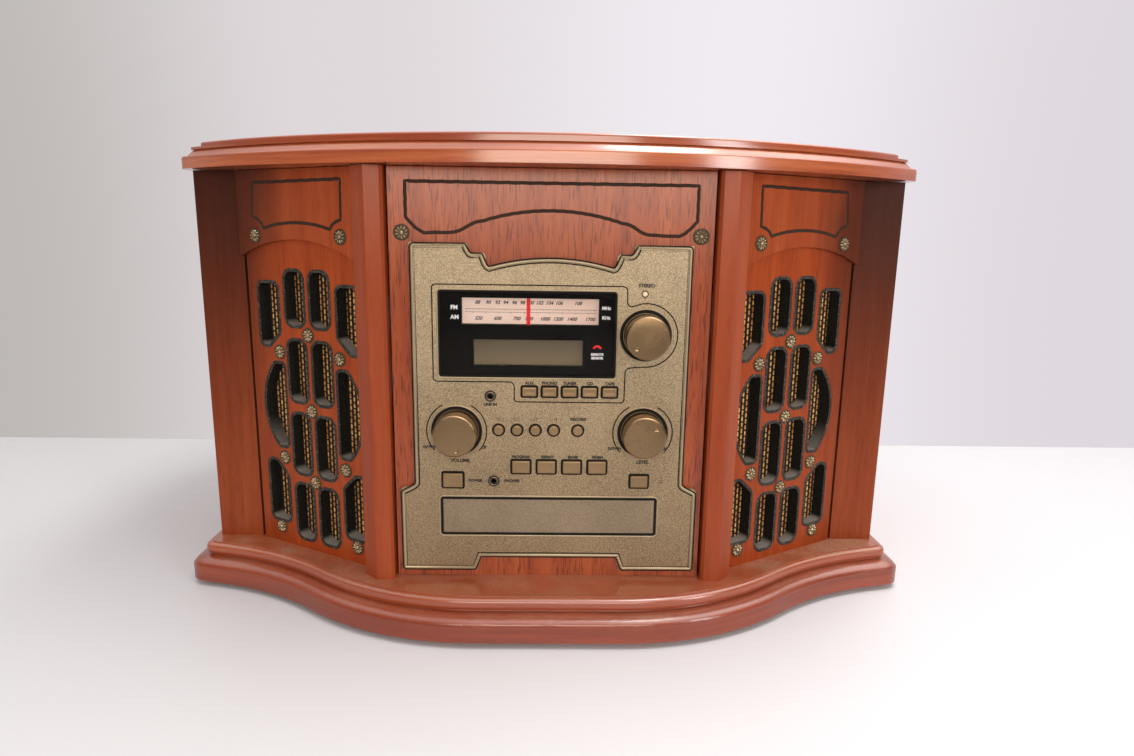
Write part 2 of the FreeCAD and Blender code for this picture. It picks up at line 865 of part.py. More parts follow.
def slot_cutter(kind, low, high):
    depth = -sheet.wing_thickness - 1
    if kind != "bowed":
        radius = sheet.slot_round if kind == "round" else sheet.side_slot_round
        return rounded_through(prism(slot_outline(kind, low, high), depth, 1), radius)
    inner = sheet.bowed_slot_start
    tip = inner + sheet.bowed_slot_end_width
    corners = [Vector(inner, depth, high), Vector(inner, depth, low), Vector(tip, depth, low),
               Vector(tip, depth, high)]
    crown = Vector(inner + sheet.bowed_slot_width, depth, (low + high) / 2)
    edges = [Part.makeLine(corners[i], corners[i + 1]) for i in range(2)]
    edges.append(Part.Arc(corners[2], crown, corners[3]).toShape())
    edges.append(Part.makeLine(corners[3], corners[0]))
    solid = Part.Face(Part.Wire(edges)).extrude(Vector(0, 1 - depth, 0))
    return rounded_through(solid, sheet.bowed_slot_round)


def slots():
    """All slots of one wing: four rows of inner slots and three of side slots, both halves."""
    rows = [
        ("round", sheet.slot_top_bottom, sheet.slot_top_height),
        ("round", sheet.slot_upper_bottom, sheet.slot_upper_height),
        ("round", sheet.slot_lower_bottom, sheet.slot_lower_height),
        ("round", sheet.slot_base_bottom, sheet.slot_base_height),
        ("low_cut", sheet.side_top_bottom, sheet.side_top_height),
        ("bowed", sheet.side_bowed_bottom, sheet.side_bowed_height),
        ("high_cut", sheet.side_base_bottom, sheet.side_base_height),
    ]
    cutters = []
    for kind, low, height in rows:
        half = slot_cutter(kind, ledge_z + low, ledge_z + low + height)
        for cutter in (half, half.mirror(Vector(), Vector(1, 0, 0))):
            cutter.translate(Vector(sheet.slot_centre, 0, 0))
            cutters.append(cutter)
    return cutters


def wing_length():
    return wing_run.Length


def make_wings():
    length = wing_length()
    plain = Part.makeBox(length + sheet.wing_tail - sheet.wing_start, sheet.wing_thickness,
                         sheet.wall_height, Vector(sheet.wing_start, -sheet.wing_thickness, ledge_z))
    slotted = plain.cut(slots())
    left = sheet.header_start
    right = length - sheet.header_end_gap
    low = ledge_z + sheet.header_edge_height
    crown = Vector((left + right) / 2, 0, low + sheet.header_rise)
    edges = [Part.Arc(Vector(left, 0, low), crown, Vector(right, 0, low)).toShape()]
    top = [Vector(right, 0, low), Vector(right, 0, wall_top), Vector(left, 0, wall_top),
           Vector(left, 0, low)]
    edges += [Part.makeLine(top[i], top[i + 1]) for i in range(3)]
    header = Part.Face(Part.Wire(edges)).extrude(Vector(0, sheet.header_thickness, 0))
    cloth = Part.makeBox(length - 2 * sheet.cloth_side_margin, sheet.cloth_thickness,
                         sheet.cloth_height,
                         Vector(sheet.cloth_side_margin,
                                -sheet.wing_thickness - sheet.cloth_thickness,
                                ledge_z + sheet.cloth_bottom))
    headers = []
    cloths = []
    for side, word in ((1, "right"), (-1, "left")):
        where = wing_place(side)
        keep(f"wing_grille_{word}", feature(f"wing_grille_{word}", handed(slotted, side), where))
        headers.append(feature(f"header_{word}", handed(header, side), where))
        cloths.append(feature(f"cloth_{word}", handed(cloth, side), where))
    keep("wing_headers", group("wing_headers", headers))
    keep("grille_cloths", group("grille_cloths", cloths))


def on_wing(side, along, out):
    """Point in the cabinet's plan at a distance along a wing and out of its face."""
    return wing_place(side).multVec(Vector(side * along, out, 0))


def make_posts():
    posts = []
    inner = sheet.board_half_width + sheet.post_gap
    for side, word in ((1, "right"), (-1, "left")):
        front = board_front - sheet.post_proud
        facet = inner + sheet.post_facet_width
        length = wing_length()
        back = on_wing(1, length + sheet.post_rebate, 0)
        heel = on_wing(1, length + sheet.post_rebate, -sheet.wing_thickness)
        corner = on_wing(1, length - sheet.post_lap, 0)
        plan = [
            Vector(inner, heel.y, 0),
            Vector(inner, front + sheet.post_shoulder, 0),
            Vector(inner + sheet.post_edge_run, front + sheet.post_edge_drop, 0),
            Vector(facet, front, 0),
            Vector(sheet.post_outer, base_front + sheet.post_outer_setback, 0),
            corner,
            back,
            heel,
        ]
        plan = [Vector(side * point.x, point.y, ledge_z) for point in plan]
        solid = Part.Face(Part.makePolygon(plan + plan[:1])).extrude(Vector(0, 0, sheet.wall_height))
        uprights = [edge for edge in solid.Edges
                    if abs(edge.Vertexes[0].Z - edge.Vertexes[-1].Z) > 1
                    and edge.Vertexes[0].Y < front + sheet.post_shoulder + sheet.post_round_depth
                    and abs(edge.Vertexes[0].X) > inner + sheet.post_round_clear]
        posts.append(feature(f"post_{word}", solid.makeFillet(sheet.post_round, uprights)))
    keep("corner_posts", group("corner_posts", posts))


def make_blocks():
    """Glue blocks behind the outer corners, and the rails that carry the deck."""
    pieces = []
    under = deck_top - sheet.deck_thickness
    side_inner = sheet.body_half_width - sheet.side_thickness
    strip_back = strip_front + sheet.strip_thickness
    for side, word in ((1, "right"), (-1, "left")):
        meet = sheet.wing_thickness * math.tan(math.radians(wing_angle))
        reach = sheet.cloth_side_margin - sheet.block_cloth_gap
        plan = [
            Vector(sheet.strip_inner, strip_back, 0),
            on_wing(1, -meet, -sheet.wing_thickness),
            on_wing(1, reach, -sheet.wing_thickness),
            on_wing(1, reach, -sheet.wing_thickness - sheet.block_depth),
            Vector(side_inner - sheet.block_heel, strip_back + sheet.block_depth, 0),
            Vector(side_inner, strip_back + sheet.block_depth, 0),
            Vector(side_inner, strip_back, 0),
        ]
        plan = [Vector(side * point.x, point.y, ledge_z) for point in plan]
        solid = Part.Face(Part.makePolygon(plan + plan[:1])).extrude(Vector(0, 0, under - ledge_z))
        pieces.append(feature(f"glue_block_{word}", solid))
        inner = f"{side} * (body_half_width - side_thickness - rail_width)"
        outer = f"{side} * (body_half_width - side_thickness)"
        span = (inner, outer) if side > 0 else (outer, inner)
        depth = (f"{STRIP_FRONT} + strip_thickness + block_depth + block_cloth_gap",
                 f"{BACK_INNER} - rail_end_gap")
        pieces.append(block(f"side_rail_{word}", span, depth,
                            (f"{DECK_UNDER} - rail_height", DECK_UNDER)))
    across = "board_half_width - front_rail_inset"
    pieces.append(block("front_rail", (f"-({across})", across),
                        (BOARD_BACK, f"{BOARD_BACK} + rail_width"),
                        (f"{DECK_UNDER} - rail_height", DECK_UNDER)))
    across = "body_half_width - side_thickness - rail_end_gap"
    pieces.append(block("back_rail", (f"-({across})", across),
                        (f"{BACK_INNER} - rail_width", BACK_INNER),
                        (f"{DECK_UNDER} - rail_height", DECK_UNDER)))
    keep("wood_rails", group("wood_rails", pieces))


def stud(name, at, turn):
    """Domed stud that stands on a face, its own axis along the face's normal."""
    obj = doc.addObject("Part::Cone", name)
    bind(obj, "Radius1", "stud_radius")
    bind(obj, "Radius2", "stud_crown_radius")
    bind(obj, "Height", "stud_height")
    obj.Placement = Placement(at, turn)
    return obj


def make_studs():
    studs = []
    middle = sheet.slot_centre
    grille = [(middle, height) for height in (sheet.stud_top, sheet.stud_middle, sheet.stud_bottom)]
    for offset, height in (
        (sheet.stud_pair_upper_offset, sheet.stud_pair_upper),
        (sheet.stud_pair_lower_offset, sheet.stud_pair_lower),
        (sheet.stud_pair_base_offset, sheet.stud_pair_base),
    ):
        grille += [(middle - offset, height), (middle + offset, height)]
    centre = sheet.header_stud_centre
    header = [(centre + way * sheet.header_stud_offset, sheet.header_stud_height) for way in (-1, 1)]
    for side, word in ((1, "right"), (-1, "left")):
        turn = wing_place(side).Rotation.multiply(Rotation(Vector(1, 0, 0), -90))
        for out, spots in ((0, grille), (sheet.header_thickness, header)):
            for along, height in spots:
                at = on_wing(side, along, out) + Vector(0, 0, ledge_z + height)
                studs.append(stud(f"stud_{word}_{len(studs)}", at, turn))
        at = Vector(side * sheet.board_stud_offset, board_front, ledge_z + sheet.board_stud_height)
        studs.append(stud(f"stud_board_{word}", at, AXIS_TURN["-Y"]))
    keep("rosette_studs", group("rosette_studs", studs))


# Control panel and what it carries

BUTTONS = []
for number in range(5):
    BUTTONS.append((f"function_button_{number + 1}", f"function_left + {number} * function_pitch",
                    "function_up", "function_width", "function_height"))
for number in range(4):
    BUTTONS.append((f"mode_button_{number + 1}", f"mode_left + {number} * mode_pitch",
                    "mode_up", "mode_width", "mode_height"))
BUTTONS.append(("power_button", "power_across", "power_up", "power_width", "power_height"))
BUTTONS.append(("eject_button", "eject_across", "power_up", "eject_width", "eject_height"))
ROUND_BUTTONS = [(f"transport_button_{number + 1}", f"transport_left + {number} * transport_pitch")
                 for number in range(4)]
ROUND_BUTTONS.append(("transport_button_5", "transport_last"))
KNOBS = [
    ("tuning_knob", "tuning_across", "tuning_up"),
    ("volume_knob", "-volume_across", "volume_up"),
    ("level_knob", "level_across", "volume_up"),
]
JACKS = [
    ("line_jack", "line_jack_across", "line_jack_up"),
    ("phones_jack", "phones_jack_across", "phones_jack_up"),
]


# Cutters reach a millimetre past the faces that they go through
def through(name, x, z):
    """Cutter that passes right through the panel."""
    return block(name, x, (f"{PANEL_FRONT} - 1", f"{BOARD_FRONT} + 1"), z)


def make_panel():
    low = sheet.panel_bottom
    top = low + sheet.panel_height
    foot = low + sheet.panel_foot_height
    step = foot + sheet.panel_step_height
    notch = low + sheet.notch_height
    tip = top - sheet.panel_tip_drop
    steps = [
        ((sheet.notch_half - sheet.notch_slant, notch),),
        ((sheet.notch_half, low),),
        ((sheet.panel_foot_half, low),),
        ((sheet.panel_foot_half, foot),),
    ]
    steps += s_curve((sheet.panel_foot_half, foot), (sheet.panel_half, step), "z")
    steps += [((sheet.panel_half, top),), ((sheet.panel_flat_inner, top),)]
    ogee = (sheet.panel_ogee_inner, top - sheet.panel_ogee_drop)
    steps += s_curve((sheet.panel_flat_inner, top), ogee, "x")
    steps += [((sheet.panel_tip_outer, ogee[1]),)]
    steps += s_curve((sheet.panel_tip_outer, ogee[1]), (sheet.panel_tip_inner, tip), "x")
    steps += [(arch_via(sheet.panel_tip_inner, sheet.panel_arch_rise, tip),
               (0, tip + sheet.panel_arch_rise))]
    plate = upright(symmetric_face((0, notch), steps), sheet.panel_thickness)
    plate.translate(Vector(0, board_front, ledge_z))
    plate = feature("panel_plate", plate)
    bosses = [rod(f"boss_{side}_{height}", "boss_radius", "board_gap + boss_lap",
                  (f"{side} * boss_spread", f"{BOARD_FRONT} - boss_lap", f"{LEDGE} + {height}"), "Y")
              for side in (1, -1) for height in ("boss_low", "boss_high")]
    solid = fuse("panel_with_bosses", [plate] + bosses)
    holes = [
        through("window_hole", ("window_left", "window_left + window_width"),
                (f"{LEDGE} + window_bottom", f"{LEDGE} + window_bottom + window_height")),
        through("door_hole", ("-door_half_width - door_fit", "door_half_width + door_fit"),
                (f"{LEDGE} + door_bottom - door_fit",
                 f"{LEDGE} + door_bottom + door_height + door_fit")),
    ]
    for name, x, up, width, height in BUTTONS:
        holes.append(through(f"{name}_hole",
                             (f"{x} - {width} / 2 - button_fit", f"{x} + {width} / 2 + button_fit"),
                             (f"{LEDGE} + {up} - {height} / 2 - button_fit",
                              f"{LEDGE} + {up} + {height} / 2 + button_fit")))
    for name, x in ROUND_BUTTONS:
        holes.append(rod(f"{name}_hole", "transport_radius + button_fit", "panel_thickness + 2",
                         (x, f"{PANEL_FRONT} - 1", f"{LEDGE} + transport_up"), "Y"))
    for name, x, up in KNOBS:
        holes.append(rod(f"{name}_hole", "shaft_hole_radius", "panel_thickness + 2",
                         (x, f"{PANEL_FRONT} - 1", f"{LEDGE} + {up}"), "Y"))
        holes.append(rod(f"{name}_well", "well_radius", "well_depth + 1",
                         (x, f"{PANEL_FRONT} - 1", f"{LEDGE} + {up}"), "Y"))
    for name, x, up in JACKS:
        holes.append(rod(f"{name}_hole", "jack_barrel_radius + button_fit", "panel_thickness + 2",
                         (x, f"{PANEL_FRONT} - 1", f"{LEDGE} + {up}"), "Y"))
    keep("control_panel", cut("control_panel", solid, holes))


def make_display():
    glass = (f"{PANEL_FRONT} + glass_recess", f"{PANEL_FRONT} + glass_recess + glass_thickness")
    keep("display_window", block(
        "display_window",
        ("window_left + glass_fit", "window_left + window_width - glass_fit"), glass,
        (f"{LEDGE} + window_bottom + glass_fit",
         f"{LEDGE} + window_bottom + window_height - glass_fit")))
    keep("dial_card", block("dial_card", ("card_left", "card_left + card_width"),
                            (f"{CIRCUIT_FRONT} - card_depth", CIRCUIT_FRONT),
                            (f"{LEDGE} + card_bottom", f"{LEDGE} + card_bottom + card_height")))
    keep("lcd_module", block("lcd_module", ("lcd_left", "lcd_left + lcd_width"),
                             (f"{CIRCUIT_FRONT} - lcd_depth", CIRCUIT_FRONT),
                             (f"{LEDGE} + lcd_bottom", f"{LEDGE} + lcd_bottom + lcd_height")))
    middle = "card_left + pointer_share * card_width"
    face = f"{CIRCUIT_FRONT} - card_depth - pointer_gap"
    top = f"{LEDGE} + card_bottom + card_height"
    strip = block("pointer_strip", (f"{middle} - pointer_width / 2", f"{middle} + pointer_width / 2"),
                  (f"{face} - pointer_thickness", face),
                  (f"{LEDGE} + card_bottom - 1", f"{top} + pointer_tail"))
    carriage = block("pointer_carriage",
                     (f"{middle} - carriage_length / 2", f"{middle} + carriage_length / 2"),
                     (f"{face} - pointer_thickness", f"{CIRCUIT_FRONT} - pointer_gap"),
                     (f"{top} + pointer_gap", f"{top} + pointer_tail"))
    keep("dial_pointer", fuse("dial_pointer", [strip, carriage]))


def make_buttons():
    """Each cap has a flange behind the panel and a stem that reaches towards its switch."""
    cap = (f"{PANEL_FRONT} - button_reach", f"{BOARD_FRONT} + button_flange_gap + 0.1")
    flange = (f"{BOARD_FRONT} + button_flange_gap",
              f"{BOARD_FRONT} + button_flange_gap + button_flange")
    stem_length = ("board_gap - button_flange_gap - switch_height - button_travel - switch_gap")
    for name, x, up, width, height in BUTTONS:
        pieces = []
        for tag, span, margin in (("cap", cap, "0"), ("flange", flange, "button_flange_margin")):
            pieces.append(block(f"{name}_{tag}",
                                (f"{x} - {width} / 2 - {margin}", f"{x} + {width} / 2 + {margin}"), span,
                                (f"{LEDGE} + {up} - {height} / 2 - {margin}",
                                 f"{LEDGE} + {up} + {height} / 2 + {margin}")))
        pieces.append(rod(f"{name}_stem", "stem_radius", stem_length,
                          (x, f"{BOARD_FRONT} + button_flange_gap", f"{LEDGE} + {up}"), "Y"))
        keep(name, fuse(name, pieces))
    for name, x in ROUND_BUTTONS:
        up = f"{LEDGE} + transport_up"
        cap = "panel_thickness + button_reach + button_flange_gap + 0.1"
        pieces = [
            rod(f"{name}_cap", "transport_radius", cap, (x, f"{PANEL_FRONT} - button_reach", up), "Y"),
            rod(f"{name}_flange", "transport_radius + button_flange_margin", "button_flange",
                (x, f"{BOARD_FRONT} + button_flange_gap", up), "Y"),
            rod(f"{name}_stem", "stem_radius", stem_length,
                (x, f"{BOARD_FRONT} + button_flange_gap", up), "Y"),
        ]
        keep(name, fuse(name, pieces))


def make_knobs():
    """Each knob is turned with its shaft, which runs in the control behind the panel."""
    back = "-well_depth + knob_gap"
    tip = "-panel_thickness - board_gap + shaft_end_gap"
    for name, x, up in KNOBS:
        body = turned(name, [
            ("0", "knob_reach"),
            ("knob_radius - knob_round", "knob_reach"),
            ("knob_radius", "knob_reach - knob_round"),
            ("knob_radius", back),
            ("shaft_radius", back),
            ("shaft_radius", tip),
            ("0", tip),
        ])
        place(body, x, PANEL_FRONT, f"{LEDGE} + {up}", AXIS_TURN["-Y"])
        keep(name, body)


def make_jacks():
    jacks = []
    for name, x, up in JACKS:
        body = turned(name, [
            ("jack_bore_radius", "jack_lip"),
            ("jack_radius", "jack_lip"),
            ("jack_radius", "0.05"),
            ("jack_barrel_radius", "0.05"),
            ("jack_barrel_radius", "-panel_thickness - board_gap"),
            ("0", "-panel_thickness - board_gap"),
            ("0", "jack_lip - jack_bore_depth"),
            ("jack_bore_radius", "jack_lip - jack_bore_depth"),
        ])
        jacks.append(place(body, x, PANEL_FRONT, f"{LEDGE} + {up}", AXIS_TURN["-Y"]))
    keep("jack_sockets", group("jack_sockets", jacks))


def make_circuit():
    low = f"{LEDGE} + circuit_bottom"
    pieces = [block("circuit_plate", ("-circuit_half_width", "circuit_half_width"),
                    (CIRCUIT_FRONT, f"{CIRCUIT_FRONT} + circuit_thickness"),
                    (low, f"{low} + circuit_height"))]
    spots = [(name, x, up) for name, x, up, width, height in BUTTONS]
    spots += [(name, x, "transport_up") for name, x in ROUND_BUTTONS]
    for name, x, up in spots:
        pieces.append(block(f"{name}_switch", (f"{x} - switch_side / 2", f"{x} + switch_side / 2"),
                            (f"{CIRCUIT_FRONT} - switch_height", f"{CIRCUIT_FRONT} + 0.1"),
                            (f"{LEDGE} + {up} - switch_side / 2", f"{LEDGE} + {up} + switch_side / 2")))
    bores = []
    for name, x, up in KNOBS:
        at = (x, f"{CIRCUIT_FRONT} - pot_height", f"{LEDGE} + {up}")
        pieces.append(rod(f"{name}_pot", "pot_radius", "pot_height + 0.1", at, "Y"))
        at = (x, f"{CIRCUIT_FRONT} - pot_height - 1", f"{LEDGE} + {up}")
        bores.append(rod(f"{name}_bore", "shaft_radius + shaft_fit", "pot_height + 1", at, "Y"))
    keep("control_board", cut("control_board", fuse("circuit_parts", pieces), bores))


def make_disc_drive():
    inner = "tray_half_width + tray_fit"
    floor = f"{LEDGE} + door_bottom - drive_floor"
    tray_low = f"{LEDGE} + door_bottom"
    roof = f"{LEDGE} + door_bottom + door_height + drive_roof"
    front = f"{BOARD_FRONT} + drive_front_gap"
    outer = f"{inner} + drive_wall"
    shell = block("drive_shell", (f"-({outer})", outer), (front, f"{front} + drive_depth"), (floor, roof))
    cavity = block("drive_cavity", (f"-({inner})", inner),
                   (f"{front} - 1", f"{front} + drive_depth - drive_back_wall"),
                   (tray_low, f"{LEDGE} + door_bottom + door_height"))
    legs = []
    for side in (1, -1):
        span = (inner, outer) if side > 0 else (f"-({outer})", f"-({inner})")
        legs.append(block(f"drive_leg_{side}", span,
                          (f"{BOARD_BACK} + drive_leg_gap", f"{front} + drive_depth - drive_leg_inset"),
                          (LEDGE, f"{floor} + 1")))
    keep("disc_drive", cut("disc_drive", fuse("drive_body", [shell] + legs), [cavity]))
    door = block("tray_door", ("-door_half_width", "door_half_width"),
                 (f"{BOARD_FRONT} - door_thickness", f"{BOARD_FRONT} + door_lap"),
                 (tray_low, f"{LEDGE} + door_bottom + door_height"))
    plate_low = f"{tray_low} + tray_fit"
    plate = block("tray_plate", ("-tray_half_width", "tray_half_width"),
                  (f"{BOARD_FRONT} + door_lap / 2", f"{BOARD_FRONT} + tray_length"),
                  (plate_low, f"{plate_low} + tray_thickness"))
    centre = f"{BOARD_FRONT} + disc_centre"
    well = rod("disc_well", "disc_well_radius", "disc_well_depth + 1",
               ("0", centre, f"{plate_low} + tray_thickness - disc_well_depth"))
    slot = block("lens_slot", ("-lens_slot_width / 2", "lens_slot_width / 2"),
                 (f"{centre} - lens_slot_ahead", f"{centre} - lens_slot_ahead + lens_slot_length"),
                 (f"{plate_low} - 1", f"{plate_low} + tray_thickness + 1"))
    keep("disc_tray", cut("disc_tray", fuse("tray_body", [door, plate]), [well, slot]))


def make_transformer():
    core = block("core", ("core_across - core_width / 2", "core_across + core_width / 2"),
                 ("core_back - core_depth / 2", "core_back + core_depth / 2"),
                 (LEDGE, f"{LEDGE} + core_height"))
    middle = f"{LEDGE} + core_height / 2"
    coil = block("coil", ("core_across - coil_width / 2", "core_across + coil_width / 2"),
                 ("core_back - coil_depth / 2", "core_back + coil_depth / 2"),
                 (f"{middle} - coil_height / 2", f"{middle} + coil_height / 2"))
    keep("power_transformer", fuse("power_transformer", [core, coil]))


def make_speakers():
    """Round driver behind each wing: flange on the cloth, open cone, basket and magnet."""
    for side, word in ((1, "right"), (-1, "left")):
        body = turned(f"speaker_{word}", [
            ("0", "cone_depth - dust_cap_rise"),
            ("dust_cap_radius", "cone_depth"),
            ("cone_radius", "surround_depth"),
            ("cone_radius", "0"),
            ("speaker_radius", "0"),
            ("speaker_radius", "speaker_flange"),
            ("cone_radius + basket_rim", "speaker_flange"),
            ("basket_radius", "magnet_front"),
            ("magnet_radius", "magnet_front"),
            ("magnet_radius", "speaker_depth"),
            ("0", "speaker_depth"),
        ])
        out = -sheet.wing_thickness - sheet.cloth_thickness
        at = on_wing(side, sheet.speaker_along, out) + Vector(0, 0, ledge_z + sheet.speaker_up)
        turn = wing_place(side).Rotation.multiply(Rotation(Vector(1, 0, 0), 90))
        body.Placement = Placement(at, turn)
        keep(f"speaker_{word}", body)


# Turntable

PLATTER_X = "platter_across"
PLATTER_Y = "platter_back"


def make_deck():
    fit = sheet.deck_fit
    front = board_back + sheet.deck_fit + sheet.deck_front_fit
    out = -sheet.wing_thickness - fit
    side_inner = sheet.body_half_width - sheet.side_thickness - fit
    step_y = strip_front + sheet.strip_thickness + fit
    slope = math.tan(math.radians(wing_angle))
    anchor = on_wing(1, 0, out)
    plan = [
        (anchor.x + (front - anchor.y) / slope, front),
        (anchor.x + (step_y - anchor.y) / slope, step_y),
        (side_inner, step_y),
        (side_inner, back_inner - fit),
        (0, back_inner - fit),
    ]
    face = symmetric_face((0, front), [(point,) for point in plan])
    face.translate(Vector(0, 0, deck_top - sheet.deck_thickness))
    plate = feature("deck_blank", face.extrude(Vector(0, 0, sheet.deck_thickness)))
    bearing = rod("bearing", "bearing_radius", "bearing_drop + deck_thickness",
                  (PLATTER_X, PLATTER_Y, f"{DECK_UNDER} - bearing_drop"))
    bore = rod("bearing_bore", "spindle_shank_radius + spindle_fit", "bearing_drop + deck_thickness + 2",
               (PLATTER_X, PLATTER_Y, f"{DECK_UNDER} - bearing_drop - 1"))
    shaft_hole = rod("pulley_hole", "pulley_hole_radius", "deck_thickness + 2",
                     (f"{PLATTER_X} + pulley_distance * cos(pulley_angle * 1deg)",
                      f"{PLATTER_Y} + pulley_distance * sin(pulley_angle * 1deg)", f"{DECK_UNDER} - 1"))
    keep("deck_plate", cut("deck_plate", fuse("deck_solid", [plate, bearing]), [bore, shaft_hole]))


def make_platter():
    top = "platter_gap + platter_height"
    web = f"{top} - platter_web"
    body = turned("platter", [
        ("0", f"{top} + mat_thickness + spindle_rise"),
        ("spindle_radius - 1", f"{top} + mat_thickness + spindle_rise"),
        ("spindle_radius", f"{top} + mat_thickness + spindle_rise - 1.5"),
        ("spindle_radius", f"{top} + mat_thickness"),
        ("platter_boss_radius", f"{top} + mat_thickness"),
        ("platter_boss_radius", top),
        ("platter_radius", top),
        ("platter_radius", "platter_gap"),
        ("platter_radius - skirt_thickness", "platter_gap"),
        ("platter_radius - skirt_thickness", web),
        ("belt_rim_radius", web),
        ("belt_rim_radius", "platter_gap"),
        ("belt_rim_radius - belt_rim_thickness", "platter_gap"),
        ("belt_rim_radius - belt_rim_thickness", web),
        ("hub_radius", web),
        ("hub_radius", "hub_gap"),
        ("spindle_shank_radius", "hub_gap"),
        ("spindle_shank_radius", "-deck_thickness - spindle_drop + 4"),
        ("0", "-deck_thickness - spindle_drop + 4"),
    ])
    keep("platter", place(body, PLATTER_X, PLATTER_Y, DECK_TOP))
    mat = turned("platter_mat", [
        ("platter_boss_radius + mat_hole_gap", top),
        ("mat_radius", top),
        ("mat_radius", f"{top} + mat_thickness"),
        ("platter_boss_radius + mat_hole_gap", f"{top} + mat_thickness"),
    ])
    keep("platter_mat", place(mat, PLATTER_X, PLATTER_Y, DECK_TOP))


def make_drive():
    """Motor under the deck, its pulley above the deck, and the belt round the platter's inner rim."""
    x = f"{PLATTER_X} + pulley_distance * cos(pulley_angle * 1deg)"
    y = f"{PLATTER_Y} + pulley_distance * sin(pulley_angle * 1deg)"
    can = rod("motor_can", "motor_radius", "motor_height", (x, y, f"{DECK_UNDER} - motor_height"))
    bore = rod("motor_bore", "pulley_shaft_radius + spindle_fit", "pulley_shaft_drop + 1",
               (x, y, f"{DECK_UNDER} - pulley_shaft_drop"))
    keep("drive_motor", cut("drive_motor", can, [bore]))
    pulley = turned("motor_pulley", [
        ("0", "pulley_lift + pulley_rise"),
        ("pulley_radius", "pulley_lift + pulley_rise"),
        ("pulley_radius", "pulley_lift"),
        ("pulley_shaft_radius", "pulley_lift"),
        ("pulley_shaft_radius", "-deck_thickness - pulley_shaft_drop + 1"),
        ("0", "-deck_thickness - pulley_shaft_drop + 1"),
    ])
    keep("motor_pulley", place(pulley, x, y, DECK_TOP))
    distance = sheet.pulley_distance
    lean = math.asin((sheet.belt_rim_radius - sheet.pulley_radius) / distance)

    def loop(grow):
        large = sheet.belt_rim_radius + grow
        small = sheet.pulley_radius + grow
        tangents = [Vector(math.sin(lean), way * math.cos(lean), 0) for way in (1, -1)]
        ends = [[direction * large, Vector(distance, 0, 0) + direction * small]
                for direction in tangents]
        return Part.Face(Part.Wire([
            Part.Arc(ends[0][0], Vector(-large, 0, 0), ends[1][0]).toShape(),
            Part.makeLine(ends[1][0], ends[1][1]),
            Part.Arc(ends[1][1], Vector(distance + small, 0, 0), ends[0][1]).toShape(),
            Part.makeLine(ends[0][1], ends[0][0]),
        ]))

    gap = sheet.belt_gap
    band = loop(gap + sheet.belt_thickness).cut(loop(gap))
    belt = band.extrude(Vector(0, 0, sheet.belt_height))
    at = Vector(sheet.platter_across, sheet.platter_back,
                deck_top + sheet.pulley_lift + sheet.belt_drop - sheet.belt_height
                + sheet.belt_rise)
    where = Placement(at, Rotation(Vector(0, 0, 1), sheet.pulley_angle))
    keep("drive_belt", feature("drive_belt", belt, where))


ARM_X = "arm_across"
ARM_Y = "arm_back"
ARM_Z = f"{DECK_TOP} + arm_rise"


def make_arm_base():
    """Bearing base, rest and cue post, each screwed down on the deck."""
    drum = rod("arm_drum", "arm_base_radius", "arm_base_height", (ARM_X, ARM_Y, DECK_TOP))
    bore = rod("arm_drum_bore", "yoke_post_radius + arm_fit", "yoke_post_drop + 2",
               (ARM_X, ARM_Y, f"{DECK_TOP} + arm_base_height - yoke_post_drop - 1"))
    base = cut("arm_drum_bored", drum, [bore])
    rest_y = f"{ARM_Y} - arm_length + rest_back"
    under = f"{ARM_Z} - tube_radius - rest_gap"
    post = rod("rest_post", "rest_post_radius", "arm_rise - tube_radius - rest_gap",
               (ARM_X, rest_y, DECK_TOP))
    lip_x = f"{ARM_X} + tube_radius + rest_gap"
    lip = block("rest_lip", (lip_x, f"{lip_x} + rest_lip_thickness"),
                (f"{rest_y} - rest_post_radius", f"{rest_y} + rest_post_radius"),
                (f"{under} - rest_lip", f"{ARM_Z} + rest_lip"))
    rest = fuse("arm_rest", [post, lip])
    cue_x = f"{ARM_X} + cue_across"
    cue_y = f"{ARM_Y} - cue_back"
    tower = block("cue_post", (f"{cue_x} - cue_post_width / 2", f"{cue_x} + cue_post_width / 2"),
                  (f"{cue_y} - cue_post_depth / 2", f"{cue_y} + cue_post_depth / 2"),
                  (DECK_TOP, f"{DECK_TOP} + cue_post_height"))
    socket = rod("cue_bore", "cue_pin_radius + arm_fit", "cue_pin_depth + 1",
                 (f"{cue_x} + cue_post_width / 2 - cue_pin_depth", cue_y,
                  f"{DECK_TOP} + cue_post_height - cue_pin_drop"), "X")
    keep("arm_base", group("arm_base", [base, rest, cut("cue_post_bored", tower, [socket])]))
    lever_x = f"{cue_x} + cue_post_width / 2 + arm_side_gap"
    pin = rod("cue_pin", "cue_pin_radius", "cue_pin_depth + arm_side_gap",
              (f"{lever_x} - cue_pin_depth - arm_side_gap + cue_pin_lap", cue_y,
               f"{DECK_TOP} + cue_post_height - cue_pin_drop"), "X")
    low = f"{DECK_TOP} + cue_post_height - cue_pin_drop - cue_lever_thickness / 2"
    handle = block("cue_handle", (lever_x, f"{lever_x} + cue_lever_width"),
                   (f"{cue_y} - cue_lever_length", f"{cue_y} + cue_lever_heel"),
                   (low, f"{low} + cue_lever_thickness"))
    keep("cue_lever", fuse("cue_lever", [pin, handle]))


